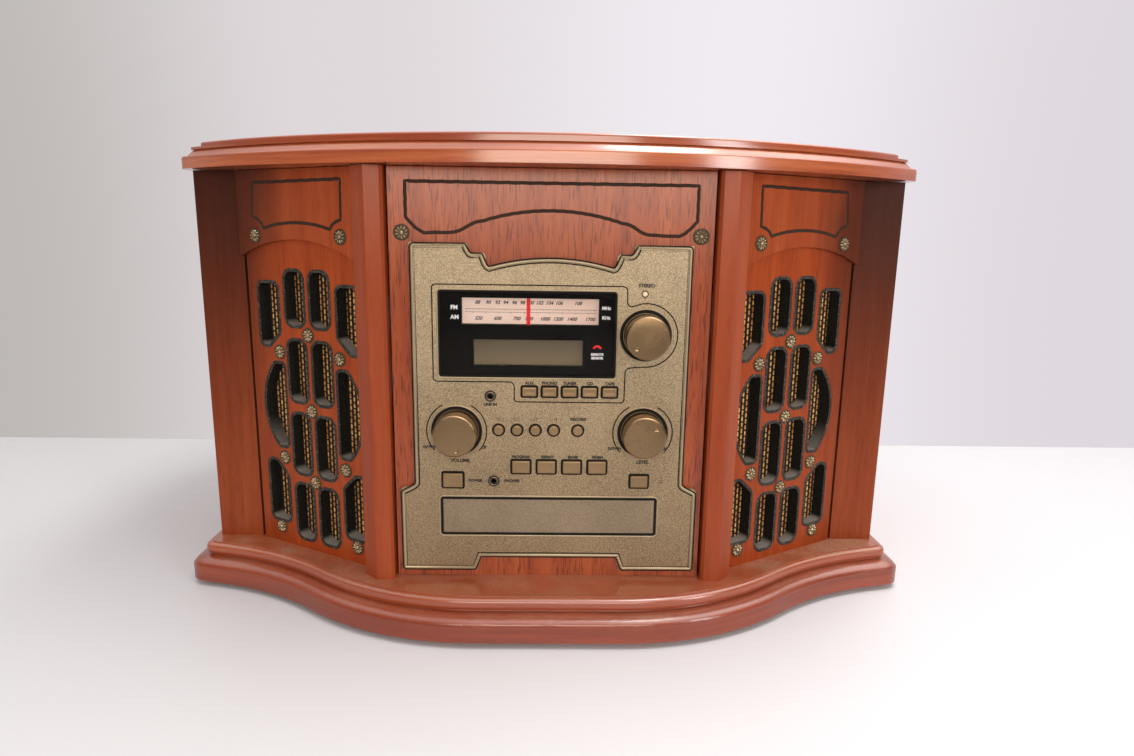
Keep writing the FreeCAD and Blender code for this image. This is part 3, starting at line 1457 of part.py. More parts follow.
def make_yoke():
    low = f"{DECK_TOP} + arm_base_height + yoke_gap"
    floor = rod("yoke_floor_disc", "yoke_radius", "yoke_floor", (ARM_X, ARM_Y, low))
    pivot = rod("yoke_pivot", "yoke_post_radius", "yoke_post_drop + yoke_gap + 1",
                (ARM_X, ARM_Y, f"{low} - yoke_gap - yoke_post_drop"))
    pieces = [floor, pivot]
    inner = "arm_block_width / 2 + arm_side_gap"
    for side in (1, -1):
        near = f"{ARM_X} + {side} * ({inner})"
        far = f"{ARM_X} + {side} * ({inner} + ear_thickness)"
        span = (near, far) if side > 0 else (far, near)
        pieces.append(block(f"ear_{side}", span,
                            (f"{ARM_Y} - ear_depth / 2", f"{ARM_Y} + ear_depth / 2"),
                            (low, f"{ARM_Z} + ear_rise")))
    bore = rod("ear_bore", "arm_pin_radius + arm_fit", f"2 * ({inner} + ear_thickness + 1)",
               (f"{ARM_X} - ({inner}) - ear_thickness - 1", ARM_Y, ARM_Z), "X")
    keep("arm_yoke", cut("arm_yoke", fuse("yoke_body", pieces), [bore]))


def make_tonearm():
    middle = block("arm_block", (f"{ARM_X} - arm_block_width / 2", f"{ARM_X} + arm_block_width / 2"),
                   (f"{ARM_Y} - arm_block_depth / 2", f"{ARM_Y} + arm_block_depth / 2"),
                   (f"{ARM_Z} - arm_block_height / 2", f"{ARM_Z} + arm_block_height / 2"))
    reach = "arm_block_width + 2 * (arm_side_gap + ear_thickness)"
    pin = rod("arm_pin", "arm_pin_radius", reach, (f"{ARM_X} - ({reach}) / 2", ARM_Y, ARM_Z), "X")
    front = f"{ARM_Y} - arm_length + shell_length / 3"
    tube = rod("arm_tube", "tube_radius", f"({ARM_Y} + weight_start + 1) - ({front})",
               (ARM_X, front, ARM_Z), "Y")
    weight = rod("counterweight", "weight_radius", "weight_length",
                 (ARM_X, f"{ARM_Y} + weight_start", ARM_Z), "Y")
    head = f"{ARM_Y} - arm_length"
    shell = block("headshell", (f"{ARM_X} - shell_width / 2", f"{ARM_X} + shell_width / 2"),
                  (f"{head} - shell_length / 3", f"{head} + 2 * shell_length / 3"),
                  (f"{ARM_Z} - tube_radius", f"{ARM_Z} - tube_radius + shell_thickness"))
    cartridge = block("cartridge",
                      (f"{ARM_X} - cartridge_width / 2", f"{ARM_X} + cartridge_width / 2"),
                      (f"{head} - cartridge_length / 2", f"{head} + cartridge_length / 2"),
                      (f"{ARM_Z} - tube_radius - cartridge_height",
                       f"{ARM_Z} - tube_radius + cartridge_lap"))
    keep("tonearm", fuse("tonearm", [middle, pin, tube, weight, shell, cartridge]))


# Lid, hinges and stay

def make_lid():
    low = wall_top + sheet.lid_gap
    fascia_z = low + sheet.lid_fascia_height
    cove_z = fascia_z + sheet.lid_cove_height
    bead_z = cove_z + sheet.lid_bead_height
    top_z = bead_z + sheet.lid_top_height
    back = sheet.lid_back_inset
    corner = sheet.lid_corner_radius
    small = sheet.lid_top_corner_radius
    fascia = slab(lid_face(sheet.lid_fascia_inset, corner, back), low, fascia_z,
                  round_high=sheet.lid_edge_round)
    step_back = back + sheet.lid_step_back
    cove = lofted([(lid_face(sheet.lid_cove_inset, small, step_back), fascia_z),
                   (lid_face(sheet.lid_cove_inset + sheet.lid_cove_run, small, step_back), cove_z)],
                  True)
    bead = slab(lid_face(sheet.lid_bead_inset, small, step_back), cove_z, bead_z)
    top = slab(lid_face(sheet.lid_top_inset, small, back + sheet.lid_top_back), bead_z, top_z,
               round_high=sheet.lid_edge_round)
    solid = fascia.fuse([cove, bead, top]).removeSplitter()
    side_inner = sheet.body_half_width - sheet.side_thickness - sheet.lid_rim
    out = -sheet.wing_thickness - sheet.lid_rim
    slope = math.tan(math.radians(wing_angle))
    anchor = on_wing(1, 0, out)
    front = board_back + sheet.lid_rim / 2
    plan = [
        (anchor.x + (front - anchor.y) / slope, front),
        (side_inner, anchor.y + (side_inner - anchor.x) * slope),
        (side_inner, back_inner - sheet.lid_rim),
        (0, back_inner - sheet.lid_rim),
    ]
    recess = symmetric_face((0, front), [(point,) for point in plan])
    recess.translate(Vector(0, 0, low - 1))
    solid = solid.cut(recess.extrude(Vector(0, 0, sheet.lid_recess_depth + 1)))
    keep("lid", feature("lid", solid))


HINGE_Y = f"{BODY_BACK} + leaf_thickness + knuckle_offset - knuckle_bite"
HINGE_Z = f"{WALL_TOP} + knuckle_lift"
STAY_Y = f"{HINGE_Y} - stay_pivot_forward"
STAY_Z = f"{HINGE_Z} - stay_pivot_drop"
WALL_LEFT = "-(body_half_width - side_thickness)"


def make_fittings():
    """Hinge leaves with their knuckles, the stay's bracket and the track under the lid."""
    fixed = []
    moving = []
    bore = "hinge_pin_radius + hinge_fit"
    side_run = "(hinge_length - hinge_middle) / 2 - hinge_gap"
    for side, word in ((1, "right"), (-1, "left")):
        left = f"{side} * hinge_spread - hinge_length / 2"
        ends = [f"{left}", f"{left} + hinge_length - ({side_run})"]
        middle = f"{left} + (hinge_length - hinge_middle) / 2"
        pieces = [block(f"body_leaf_{word}", (left, f"{left} + hinge_length"),
                        (BODY_BACK, f"{BODY_BACK} + leaf_thickness"),
                        (f"{HINGE_Z} - leaf_height - knuckle_radius - leaf_clearance",
                         f"{HINGE_Z} - knuckle_radius - leaf_clearance"))]
        for index, start in enumerate(ends):
            pieces.append(rod(f"knuckle_{word}_{index}", "knuckle_radius", side_run,
                              (start, HINGE_Y, HINGE_Z), "X"))
            pieces.append(block(f"leaf_tab_{word}_{index}", (start, f"{start} + {side_run}"),
                                (BODY_BACK, f"{BODY_BACK} + leaf_thickness"),
                                (f"{HINGE_Z} - knuckle_radius - leaf_clearance - 1", HINGE_Z)))
        pieces.append(rod(f"hinge_pin_{word}", "hinge_pin_radius", "hinge_length",
                          (left, HINGE_Y, HINGE_Z), "X"))
        fixed.append(fuse(f"body_hinge_{word}", pieces))
        lid_back = "base_depth / 2 - lid_back_inset"
        pieces = [block(f"lid_leaf_{word}", (left, f"{left} + hinge_length"),
                        (lid_back, f"{lid_back} + leaf_thickness / 2"),
                        (f"{HINGE_Z} + knuckle_radius + leaf_clearance",
                         f"{WALL_TOP} + lid_gap + lid_fascia_height - leaf_top_gap")),
                  block(f"lid_tab_{word}", (middle, f"{middle} + hinge_middle"),
                        (lid_back, f"{lid_back} + leaf_thickness / 2"),
                        (HINGE_Z, f"{HINGE_Z} + knuckle_radius + leaf_clearance + 1")),
                  rod(f"lid_knuckle_{word}", "knuckle_radius", "hinge_middle",
                      (middle, HINGE_Y, HINGE_Z), "X")]
        hole = rod(f"lid_knuckle_bore_{word}", bore, "hinge_middle + 2",
                   (f"{middle} - 1", HINGE_Y, HINGE_Z), "X")
        moving.append(cut(f"lid_hinge_{word}", fuse(f"lid_hinge_body_{word}", pieces), [hole]))
    bracket = block("stay_bracket", (WALL_LEFT, f"{WALL_LEFT} + stay_gap"),
                    (f"{STAY_Y} - stay_bracket_length", f"{STAY_Y} + stay_bracket_back"),
                    (f"{STAY_Z} - stay_bracket_height", f"{STAY_Z} + stay_bracket_top"))
    pivot = rod("stay_pivot", "stay_pin_radius", "stay_gap + stay_thickness + 1",
                (WALL_LEFT, STAY_Y, STAY_Z), "X")
    fixed.append(fuse("stay_mount", [bracket, pivot]))
    keep("body_fittings", group("body_fittings", fixed))

    end_y = f"{STAY_Y} - stay_length"
    under = f"{WALL_TOP} + lid_gap"
    track_x = f"{WALL_LEFT} + stay_gap + stay_thickness + 1"
    track_run = (f"{end_y} - track_ahead", f"{end_y} + track_behind")
    plate = block("track_plate", (track_x, f"{track_x} + track_thickness"), track_run,
                  (f"{STAY_Z} - track_slot_below - track_margin", under))
    flange = block("track_flange", (track_x, f"{track_x} + track_flange_width"), track_run,
                   (f"{under} - track_flange_thickness", under))
    slot = block("track_slot", (f"{track_x} - 1", f"{track_x} + track_thickness + 1"),
                 (f"{end_y} - track_slot_ahead", f"{end_y} + track_slot_behind"),
                 (f"{STAY_Z} - track_slot_below", f"{STAY_Z} + track_slot_above"))
    moving.append(cut("stay_track", fuse("track_body", [plate, flange]), [slot]))
    keep("lid_fittings", group("lid_fittings", moving))

    arm_x = f"{WALL_LEFT} + stay_gap + stay_side_gap"
    bar = block("stay_bar", (arm_x, f"{arm_x} + stay_thickness"), (end_y, STAY_Y),
                (f"{STAY_Z} - stay_width / 2", f"{STAY_Z} + stay_width / 2"))
    ends = [rod(f"stay_end_{word}", "stay_width / 2", "stay_thickness", (arm_x, y, STAY_Z), "X")
            for word, y in (("front", end_y), ("back", STAY_Y))]
    pin = rod("stay_slide_pin", "stay_pin_radius", "stay_thickness + track_thickness + 1",
              (arm_x, end_y, STAY_Z), "X")
    hole = rod("stay_bar_bore", "stay_pin_radius + stay_fit", "stay_thickness + 2",
               (f"{arm_x} - 1", STAY_Y, STAY_Z), "X")
    keep("stay_arm", cut("stay_arm", fuse("stay_body", [bar, pin] + ends), [hole]))


make_base()
make_walls()
make_wings()
make_posts()
make_blocks()
make_studs()
make_panel()
make_display()
make_buttons()
make_knobs()
make_jacks()
make_circuit()
make_disc_drive()
make_transformer()
make_speakers()
make_deck()
make_platter()
make_drive()
make_arm_base()
make_yoke()
make_tonearm()
make_lid()
make_fittings()
doc.recompute()

faults = [obj.Label for obj in doc.Objects if "Invalid" in obj.State or "Error" in obj.State]
for label, obj in nodes.items():
    if obj.Shape.isNull() or not obj.Shape.isValid() or not obj.Shape.Solids:
        faults.append(label)
if faults:
    raise RuntimeError("not sound: " + ", ".join(faults))

os.makedirs("parts", exist_ok=True)
for label, obj in nodes.items():
    obj.Shape.exportStep(f"parts/{label}.step")
    print(label, len(obj.Shape.Solids), "solid(s)")
print(len(nodes), "nodes")
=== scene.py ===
# Record player in a bow-fronted wooden cabinet. Sizes in the dictionaries are millimetres, in the
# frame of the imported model: X right, Y back, Z up, origin under the middle of the cabinet.
import math

import bpy
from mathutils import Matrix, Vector


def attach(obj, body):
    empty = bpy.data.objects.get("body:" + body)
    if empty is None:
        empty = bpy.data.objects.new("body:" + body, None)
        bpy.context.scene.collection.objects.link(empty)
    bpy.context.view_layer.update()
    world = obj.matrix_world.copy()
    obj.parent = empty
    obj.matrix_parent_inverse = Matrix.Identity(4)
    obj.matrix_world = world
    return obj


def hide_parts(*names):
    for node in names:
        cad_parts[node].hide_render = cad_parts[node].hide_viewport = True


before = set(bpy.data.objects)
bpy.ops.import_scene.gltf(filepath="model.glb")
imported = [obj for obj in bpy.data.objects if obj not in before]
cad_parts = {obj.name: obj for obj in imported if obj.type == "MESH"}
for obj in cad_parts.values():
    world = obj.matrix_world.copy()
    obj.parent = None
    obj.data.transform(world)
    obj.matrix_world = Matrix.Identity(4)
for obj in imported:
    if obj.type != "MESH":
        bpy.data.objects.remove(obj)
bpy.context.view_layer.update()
mm = 0.001
ledgeTop = 32.0
boardFace = -150.0
panelFace = -153.0


# Handling of objects

def clearSelection():
    bpy.ops.object.select_all(action="DESELECT")


def only(piece):
    clearSelection()
    piece.select_set(True)
    bpy.context.view_layer.objects.active = piece


def named(name):
    piece = bpy.context.active_object
    piece.name = name
    piece.data.name = name
    return piece


def settle(piece):
    only(piece)
    bpy.ops.object.transform_apply(location=True, rotation=True, scale=True)
    return piece


def closeUp(piece):
    only(piece)
    bpy.ops.object.mode_set(mode="EDIT")
    bpy.ops.mesh.select_all(action="SELECT")
    bpy.ops.mesh.remove_doubles(threshold=1e-6)
    bpy.ops.mesh.normals_make_consistent(inside=False)
    bpy.ops.object.mode_set(mode="OBJECT")
    return piece


def apply(piece, kind, **settings):
    modifier = piece.modifiers.new(kind.title(), kind)
    for key, value in settings.items():
        setattr(modifier, key, value)
    only(piece)
    bpy.ops.object.modifier_apply(modifier=modifier.name)
    return piece


def rounded(piece, width, segments=2, angle=30):
    return apply(piece, "BEVEL", width=width * mm, segments=segments, limit_method="ANGLE",
                 angle_limit=math.radians(angle), use_clamp_overlap=True)


def smooth(piece, angle=35):
    only(piece)
    bpy.ops.object.shade_smooth_by_angle(angle=math.radians(angle))
    return piece


def joined(name, pieces):
    clearSelection()
    for piece in pieces:
        piece.select_set(True)
    bpy.context.view_layer.objects.active = pieces[0]
    if len(pieces) > 1:
        bpy.ops.object.join()
    return settle(named(name))


def copied(piece):
    only(piece)
    bpy.ops.object.duplicate()
    return bpy.context.active_object


def cutAway(piece, cutter):
    apply(piece, "BOOLEAN", operation="DIFFERENCE", object=cutter, solver="EXACT")
    only(cutter)
    bpy.ops.object.delete()
    return piece


def block(name, low, high, bevel=0.0, segments=2):
    # A box between two corners, with its edges rounded
    middle = [(a + b) / 2 * mm for a, b in zip(low, high)]
    size = [(b - a) * mm for a, b in zip(low, high)]
    clearSelection()
    bpy.ops.mesh.primitive_cube_add(size=1, location=middle, scale=size)
    piece = settle(named(name))
    return rounded(piece, bevel, segments) if bevel else piece


def turned(name, rings, at, turn=(0, 0, 0), sides=64):
    # A lathe shape: a disc that is extruded and resized ring by ring, (radius, height)
    radius, height = rings[0]
    clearSelection()
    bpy.ops.mesh.primitive_circle_add(vertices=sides, radius=radius * mm, fill_type="NGON")
    piece = named(name)
    bpy.ops.object.mode_set(mode="EDIT")
    bpy.ops.mesh.select_all(action="SELECT")
    bpy.ops.transform.translate(value=(0, 0, height * mm))
    for newRadius, newHeight in rings[1:]:
        bpy.ops.mesh.extrude_region_move(
            TRANSFORM_OT_translate={"value": (0, 0, (newHeight - height) * mm)})
        ratio = newRadius / radius
        bpy.ops.transform.resize(value=(ratio, ratio, 1), center_override=(0, 0, 0))
        radius, height = newRadius, newHeight
    bpy.ops.object.mode_set(mode="OBJECT")
    closeUp(piece)
    piece.rotation_euler = [math.radians(angle) for angle in turn]
    piece.location = [value * mm for value in at]
    return settle(piece)


def lineWork(name, runs, width, lift, sides=2):
    # Beads or burned lines that follow runs of (x, z) points, flattened to a height of lift
    curve = bpy.data.curves.new(name, "CURVE")
    curve.dimensions = "3D"
    for points, closed in runs:
        spline = curve.splines.new("POLY")
        spline.points.add(len(points) - 1)
        for point, (x, z) in zip(spline.points, points):
            point.co = (x * mm, 0, z * mm, 1)
        spline.use_cyclic_u = closed
    curve.bevel_depth = width / 2 * mm
    curve.bevel_resolution = sides
    curve.use_fill_caps = True
    piece = bpy.data.objects.new(name, curve)
    bpy.context.scene.collection.objects.link(piece)
    only(piece)
    bpy.ops.object.convert(target="MESH")
    piece = named(name)
    bpy.ops.object.mode_set(mode="EDIT")
    bpy.ops.mesh.select_all(action="SELECT")
    bpy.ops.transform.resize(value=(1, 2 * lift / width, 1), center_override=(0, 0, 0))
    bpy.ops.object.mode_set(mode="OBJECT")
    return smooth(closeUp(piece), 50)


def moved(piece, x=0.0, y=0.0, z=0.0):
    piece.location = (x * mm, y * mm, z * mm)
    return settle(piece)


# The wings' own frame: s runs along a wing from its outer strip, out is proud of its face

wing = {"cornerX": 229.6, "cornerY": -82.7, "angle": 29.56, "length": 114.73, "middle": 62.8}


def wingTurn(side):
    return math.radians(180 + side * wing["angle"])


def onWing(side, s, out, z):
    turn = wingTurn(side)
    return (side * wing["cornerX"] + side * s * math.cos(turn) - out * math.sin(turn),
            wing["cornerY"] + side * s * math.sin(turn) + out * math.cos(turn), z)


def ontoWing(piece, side, out):
    # Takes a piece drawn in (side * s, -out, z) and stands it on that wing
    piece.rotation_euler = (0, 0, wingTurn(side))
    piece.location = [value * mm for value in onWing(side, 0, out, 0)]
    return settle(piece)


# Points of outlines

def ease(first, last, along, steps=8):
    # An S-bend between two points that starts and ends along "x" or "z"
    points = []
    for i in range(steps + 1):
        share = i / steps
        bend = (1 - math.cos(math.pi * share)) / 2
        a, b = (share, bend) if along == "x" else (bend, share)
        points.append((first[0] + (last[0] - first[0]) * a, first[1] + (last[1] - first[1]) * b))
    return points


def archPoints(left, right, rise, steps=16):
    # An arc from left to right whose middle is rise above the line between them
    half = (right[0] - left[0]) / 2
    radius = (half * half + rise * rise) / (2 * abs(rise))
    way = 1 if rise > 0 else -1
    middle = (left[0] + right[0]) / 2
    points = []
    for i in range(steps + 1):
        x = left[0] + (right[0] - left[0]) * i / steps
        drop = radius - math.sqrt(radius * radius - (x - middle) ** 2)
        level = left[1] + (right[1] - left[1]) * i / steps
        points.append((x, level + rise - way * drop))
    return points


def ringPoints(x, z, radius, start=0.0, end=360.0, steps=40):
    closed = abs(end - start) >= 360
    count = steps if closed else steps + 1
    angles = [math.radians(start + (end - start) * i / steps) for i in range(count)]
    return [(x + radius * math.cos(angle), z + radius * math.sin(angle)) for angle in angles]


def roundedRectangle(left, low, right, high, corner, steps=5):
    points = []
    for x, z, start in ((right - corner, low + corner, -90), (right - corner, high - corner, 0),
                        (left + corner, high - corner, 90), (left + corner, low + corner, 180)):
        points += ringPoints(x, z, corner, start, start + 90, steps)
    return points


def mirrored(points):
    # Adds the mirror image of half an outline that runs from the middle line to the middle line
    return points + [(-x, z) for x, z in reversed(points) if abs(x) > 1e-6]


def inset(points, distance):
    # The same closed outline, moved inwards; the points run anticlockwise
    count = len(points)
    result = []
    for i, here in enumerate(points):
        before, after = Vector(points[i - 1]), Vector(points[(i + 1) % count])
        here = Vector(here)
        first, second = (here - before), (after - here)
        if first.length < 1e-6 or second.length < 1e-6:
            continue
        first.normalize()
        second.normalize()
        normals = Vector((-first.y, first.x)), Vector((-second.y, second.x))
        middle = normals[0] + normals[1]
        if middle.length < 1e-3:
            continue
        middle.normalize()
        place = here + middle * distance / max(0.35, middle.dot(normals[0]))
        result.append((place.x, place.y))
    return result


def filleted(corners, radius, steps=5):
    # A closed outline whose sharp corners are rounded
    points = []
    for i, corner in enumerate(corners):
        here = Vector(corner)
        before = (Vector(corners[i - 1]) - here).normalized()
        after = (Vector(corners[(i + 1) % len(corners)]) - here).normalized()
        half = before.angle(after) / 2
        if half > 1.35:
            points.append(corner)
            continue
        middle = here + (before + after).normalized() * radius / math.sin(half)
        first = here + before * radius / math.tan(half) - middle
        last = here + after * radius / math.tan(half) - middle
        for j in range(steps + 1):
            spoke = first.lerp(last, j / steps).normalized() * radius
            points.append((middle.x + spoke.x, middle.y + spoke.y))
    return points


def shaky(points, amount=0.13, step=2.2):
    # A closed run in short steps, a little uneven like a line that was burned by hand
    result = []
    for i, (x, z) in enumerate(points):
        nextX, nextZ = points[(i + 1) % len(points)]
        count = max(1, round(math.hypot(nextX - x, nextZ - z) / step))
        for j in range(count):
            a = x + (nextX - x) * j / count
            b = z + (nextZ - z) * j / count
            result.append((a + amount * math.sin(1.9 * b + 0.7 * a),
                           b + amount * math.sin(2.3 * a + 0.4 * b)))
    return result


# Materials

def put(tree, kind, feeds=None, **settings):
    item = tree.nodes.new(kind)
    for key, value in settings.items():
        setattr(item, key, value)
    for key, value in (feeds or {}).items():
        feed(tree, item.inputs[key], value)
    return item


def feed(tree, socket, value):
    if isinstance(value, bpy.types.NodeSocket):
        tree.links.new(value, socket)
    elif hasattr(value, "__len__") and len(value) == 3 and socket.type == "RGBA":
        socket.default_value = (*value, 1)
    else:
        socket.default_value = value


def sums(tree, operation, a, b=0.0, c=0.0, clamp=False):
    item = put(tree, "ShaderNodeMath", {0: a, 1: b, 2: c}, operation=operation, use_clamp=clamp)
    return item.outputs[0]


def ramp(tree, value, low, high, newLow=0.0, newHigh=1.0):
    item = put(tree, "ShaderNodeMapRange",
               {"Value": value, "From Min": low, "From Max": high, "To Min": newLow,
                "To Max": newHigh}, interpolation_type="SMOOTHSTEP")
    return item.outputs["Result"]


def blendColour(tree, share, first, second, kind="MIX"):
    item = put(tree, "ShaderNodeMix", {0: share, 6: first, 7: second}, data_type="RGBA",
               blend_type=kind)
    return item.outputs[2]


def noise(tree, vector, scale, detail=3.0, rough=0.5):
    item = put(tree, "ShaderNodeTexNoise",
               {"Vector": vector, "Scale": scale, "Detail": detail, "Roughness": rough})
    return item.outputs[0]


def stretched(tree, vector, scale, turn=(0, 0, 0)):
    item = put(tree, "ShaderNodeMapping", {"Vector": vector, "Scale": scale, "Rotation": turn})
    return item.outputs[0]


def parts(tree, vector):
    item = put(tree, "ShaderNodeSeparateXYZ", {0: vector})
    return item.outputs


def newGroup(name, inputs, outputs):
    group = bpy.data.node_groups.new(name, "ShaderNodeTree")
    kinds = {"vector": "NodeSocketVector", "colour": "NodeSocketColor", "value": "NodeSocketFloat"}
    for label, kind in inputs:
        group.interface.new_socket(label, in_out="INPUT", socket_type=kinds[kind])
    for label, kind in outputs:
        group.interface.new_socket(label, in_out="OUTPUT", socket_type=kinds[kind])
    source = group.nodes.new("NodeGroupInput")
    result = group.nodes.new("NodeGroupOutput")
    return group, source.outputs, result.inputs


def useGroup(tree, group, feeds):
    return put(tree, "ShaderNodeGroup", feeds, node_tree=group).outputs


def newMaterial(name, **plain):
    material = bpy.data.materials.new(name)
    material.use_nodes = True
    tree = material.node_tree
    shader = tree.nodes["Principled BSDF"]
    for key, value in plain.items():
        feed(tree, shader.inputs[key.replace("_", " ")], value)
    place = tree.nodes.new("ShaderNodeTexCoord")
    return material, tree, shader.inputs, place.outputs["Object"], place.outputs["Normal"]


def bump(tree, shader, height, distance, strength=1.0):
    item = put(tree, "ShaderNodeBump",
               {"Height": height, "Distance": distance * mm, "Strength": strength})
    feed(tree, shader["Normal"], item.outputs[0])


def makeFigureGroup():
    # Stained wood: broad bands, fine streaks and short dark pores along the stretched direction
    group, source, result = newGroup(
        "woodFigure",
        [("Vector", "vector"), ("Light", "colour"), ("Dark", "colour"), ("Pores", "value")],
        [("Color", "colour"), ("Height", "value"), ("Roughness", "value")])
    bands = noise(group, source["Vector"], 1.1, 4, 0.55)
    streaks = noise(group, source["Vector"], 5.0, 3, 0.6)
    pores = noise(group, source["Vector"], 21.0, 2, 0.5)
    band = ramp(group, bands, 0.34, 0.68)
    streak = ramp(group, streaks, 0.35, 0.7)
    share = sums(group, "ADD", sums(group, "MULTIPLY", band, 0.65),
                 sums(group, "MULTIPLY", streak, 0.35))
    colour = blendColour(group, share, source["Dark"], source["Light"])
    pore = sums(group, "MULTIPLY", ramp(group, pores, 0.54, 0.66), source["Pores"])
    deep = blendColour(group, 0.55, source["Dark"], (0.05, 0.009, 0.004))
    feed(group, result["Color"], blendColour(group, pore, colour, deep))
    feed(group, result["Height"], sums(group, "SUBTRACT", sums(group, "MULTIPLY", streak, 0.3), pore))
    feed(group, result["Roughness"], ramp(group, streaks, 0.2, 0.8, 0.3, 0.42))
    return group


def makeSunburstGroup():
    # The dark stain that was sprayed on the outer edges, with painted shade that makes it deeper towards
    # the top, under the lid's overhang
    group, source, result = newGroup(
        "sunburstAndLidShade",
        [("Vector", "vector"), ("Start", "value"), ("End", "value"), ("Bottom", "value"),
         ("Depth", "value")],
        [("Mask", "value")])
    x, y, z = parts(group, source["Vector"])
    cloud = sums(group, "MULTIPLY", noise(group, source["Vector"], 14, 2), 0.03)
    across = sums(group, "ADD", sums(group, "ABSOLUTE", x), sums(group, "SUBTRACT", cloud, 0.015))
    edge = put(group, "ShaderNodeMapRange",
               {"Value": across, "From Min": source["Start"], "From Max": source["End"]},
               interpolation_type="SMOOTHSTEP").outputs["Result"]
    # painted shade: darker towards the top, where the lid overhangs
    height = put(group, "ShaderNodeMapRange",
                 {"Value": z, "From Min": 0.06, "From Max": 0.31, "To Min": source["Bottom"],
                  "To Max": 1.0}, interpolation_type="SMOOTHSTEP").outputs["Result"]
    mask = sums(group, "MULTIPLY", sums(group, "MULTIPLY", edge, height), source["Depth"], clamp=True)
    feed(group, result["Mask"], mask)
    return group


def makeDustGroup():
    # Dry dust that lies on faces which look up, thicker in patches
    group, source, result = newGroup(
        "dust", [("Vector", "vector"), ("Normal", "vector"), ("Amount", "value")],
        [("Mask", "value")])
    up = parts(group, source["Normal"])[2]
    lying = ramp(group, up, 0.25, 0.95)
    patches = ramp(group, noise(group, source["Vector"], 26, 5, 0.65), 0.36, 0.64, 0.25, 1.0)
    fine = ramp(group, noise(group, source["Vector"], 520, 2), 0.35, 0.65, 0.6, 1.0)
    mask = sums(group, "MULTIPLY", sums(group, "MULTIPLY", lying, patches), fine)
    feed(group, result["Mask"], sums(group, "MULTIPLY", mask, source["Amount"], clamp=True))
    return group


def makeSpeckleGroup():
    # Metal flake and fine texture of the moulded bronze parts
    group, source, result = newGroup(
        "speckle", [("Vector", "vector"), ("Scale", "value"), ("Contrast", "value"),
                    ("Color", "colour")],
        [("Color", "colour"), ("Height", "value"), ("Flake", "value")])
    grain = noise(group, source["Vector"], source["Scale"], 2, 0.6)
    broad = noise(group, source["Vector"], 22, 2)
    tone = sums(group, "MULTIPLY", sums(group, "SUBTRACT", grain, 0.5), source["Contrast"])
    tone = sums(group, "ADD", tone, ramp(group, broad, 0.3, 0.7, 0.92, 1.08))
    scaled = put(group, "ShaderNodeVectorMath", {0: source["Color"], 3: tone}, operation="SCALE")
    feed(group, result["Color"], scaled.outputs[0])
    feed(group, result["Height"], grain)
    feed(group, result["Flake"], ramp(group, grain, 0.45, 0.7))
    return group


def makeSmudgeGroup():
    # Cloudy wear that changes a surface's gloss
    group, source, result = newGroup(
        "smudge", [("Vector", "vector"), ("Scale", "value"), ("Low", "value"), ("High", "value")],
        [("Roughness", "value")])
    cloud = noise(group, source["Vector"], source["Scale"], 4, 0.6)
    item = put(group, "ShaderNodeMapRange",
               {"Value": cloud, "From Min": 0.3, "From Max": 0.7, "To Min": source["Low"],
                "To Max": source["High"]})
    feed(group, result["Roughness"], item.outputs["Result"])
    return group


def makeWeaveGroup():
    # Woven dashes in staggered columns: U and V in metres over the cloth
    group, source, result = newGroup(
        "weave", [("U", "value"), ("V", "value")], [("Dash", "value"), ("Thread", "value")])
    column = sums(group, "DIVIDE", source["U"], 0.0036)
    stagger = sums(group, "MULTIPLY", sums(group, "MODULO", sums(group, "FLOOR", column), 2.0), 0.5)
    row = sums(group, "ADD", sums(group, "DIVIDE", source["V"], 0.0043), stagger)
    across = sums(group, "ABSOLUTE", sums(group, "SUBTRACT", sums(group, "FRACT", column), 0.5))
    along = sums(group, "ABSOLUTE", sums(group, "SUBTRACT", sums(group, "FRACT", row), 0.5))
    reach = sums(group, "ADD", sums(group, "POWER", sums(group, "DIVIDE", across, 0.21), 2.0),
                 sums(group, "POWER", sums(group, "DIVIDE", along, 0.41), 4.0))
    feed(group, result["Dash"], ramp(group, reach, 1.1, 0.7))
    threads = sums(group, "SINE", sums(group, "MULTIPLY", source["V"], 9000.0))
    feed(group, result["Thread"], sums(group, "MULTIPLY_ADD", threads, 0.5, 0.5))
    return group


figureGroup = makeFigureGroup()
sunburstShadeGroup = makeSunburstGroup()
dustGroup = makeDustGroup()
speckleGroup = makeSpeckleGroup()
smudgeGroup = makeSmudgeGroup()
weaveGroup = makeWeaveGroup()

stain = {
    "light": (0.39, 0.080, 0.022), "dark": (0.285, 0.048, 0.012), "burntAndLidShade": (0.034, 0.009, 0.005),
    "dust": (0.42, 0.235, 0.145), "upright": (55, 55, 3.2), "level": (3.0, 3.0, 90.0),
}


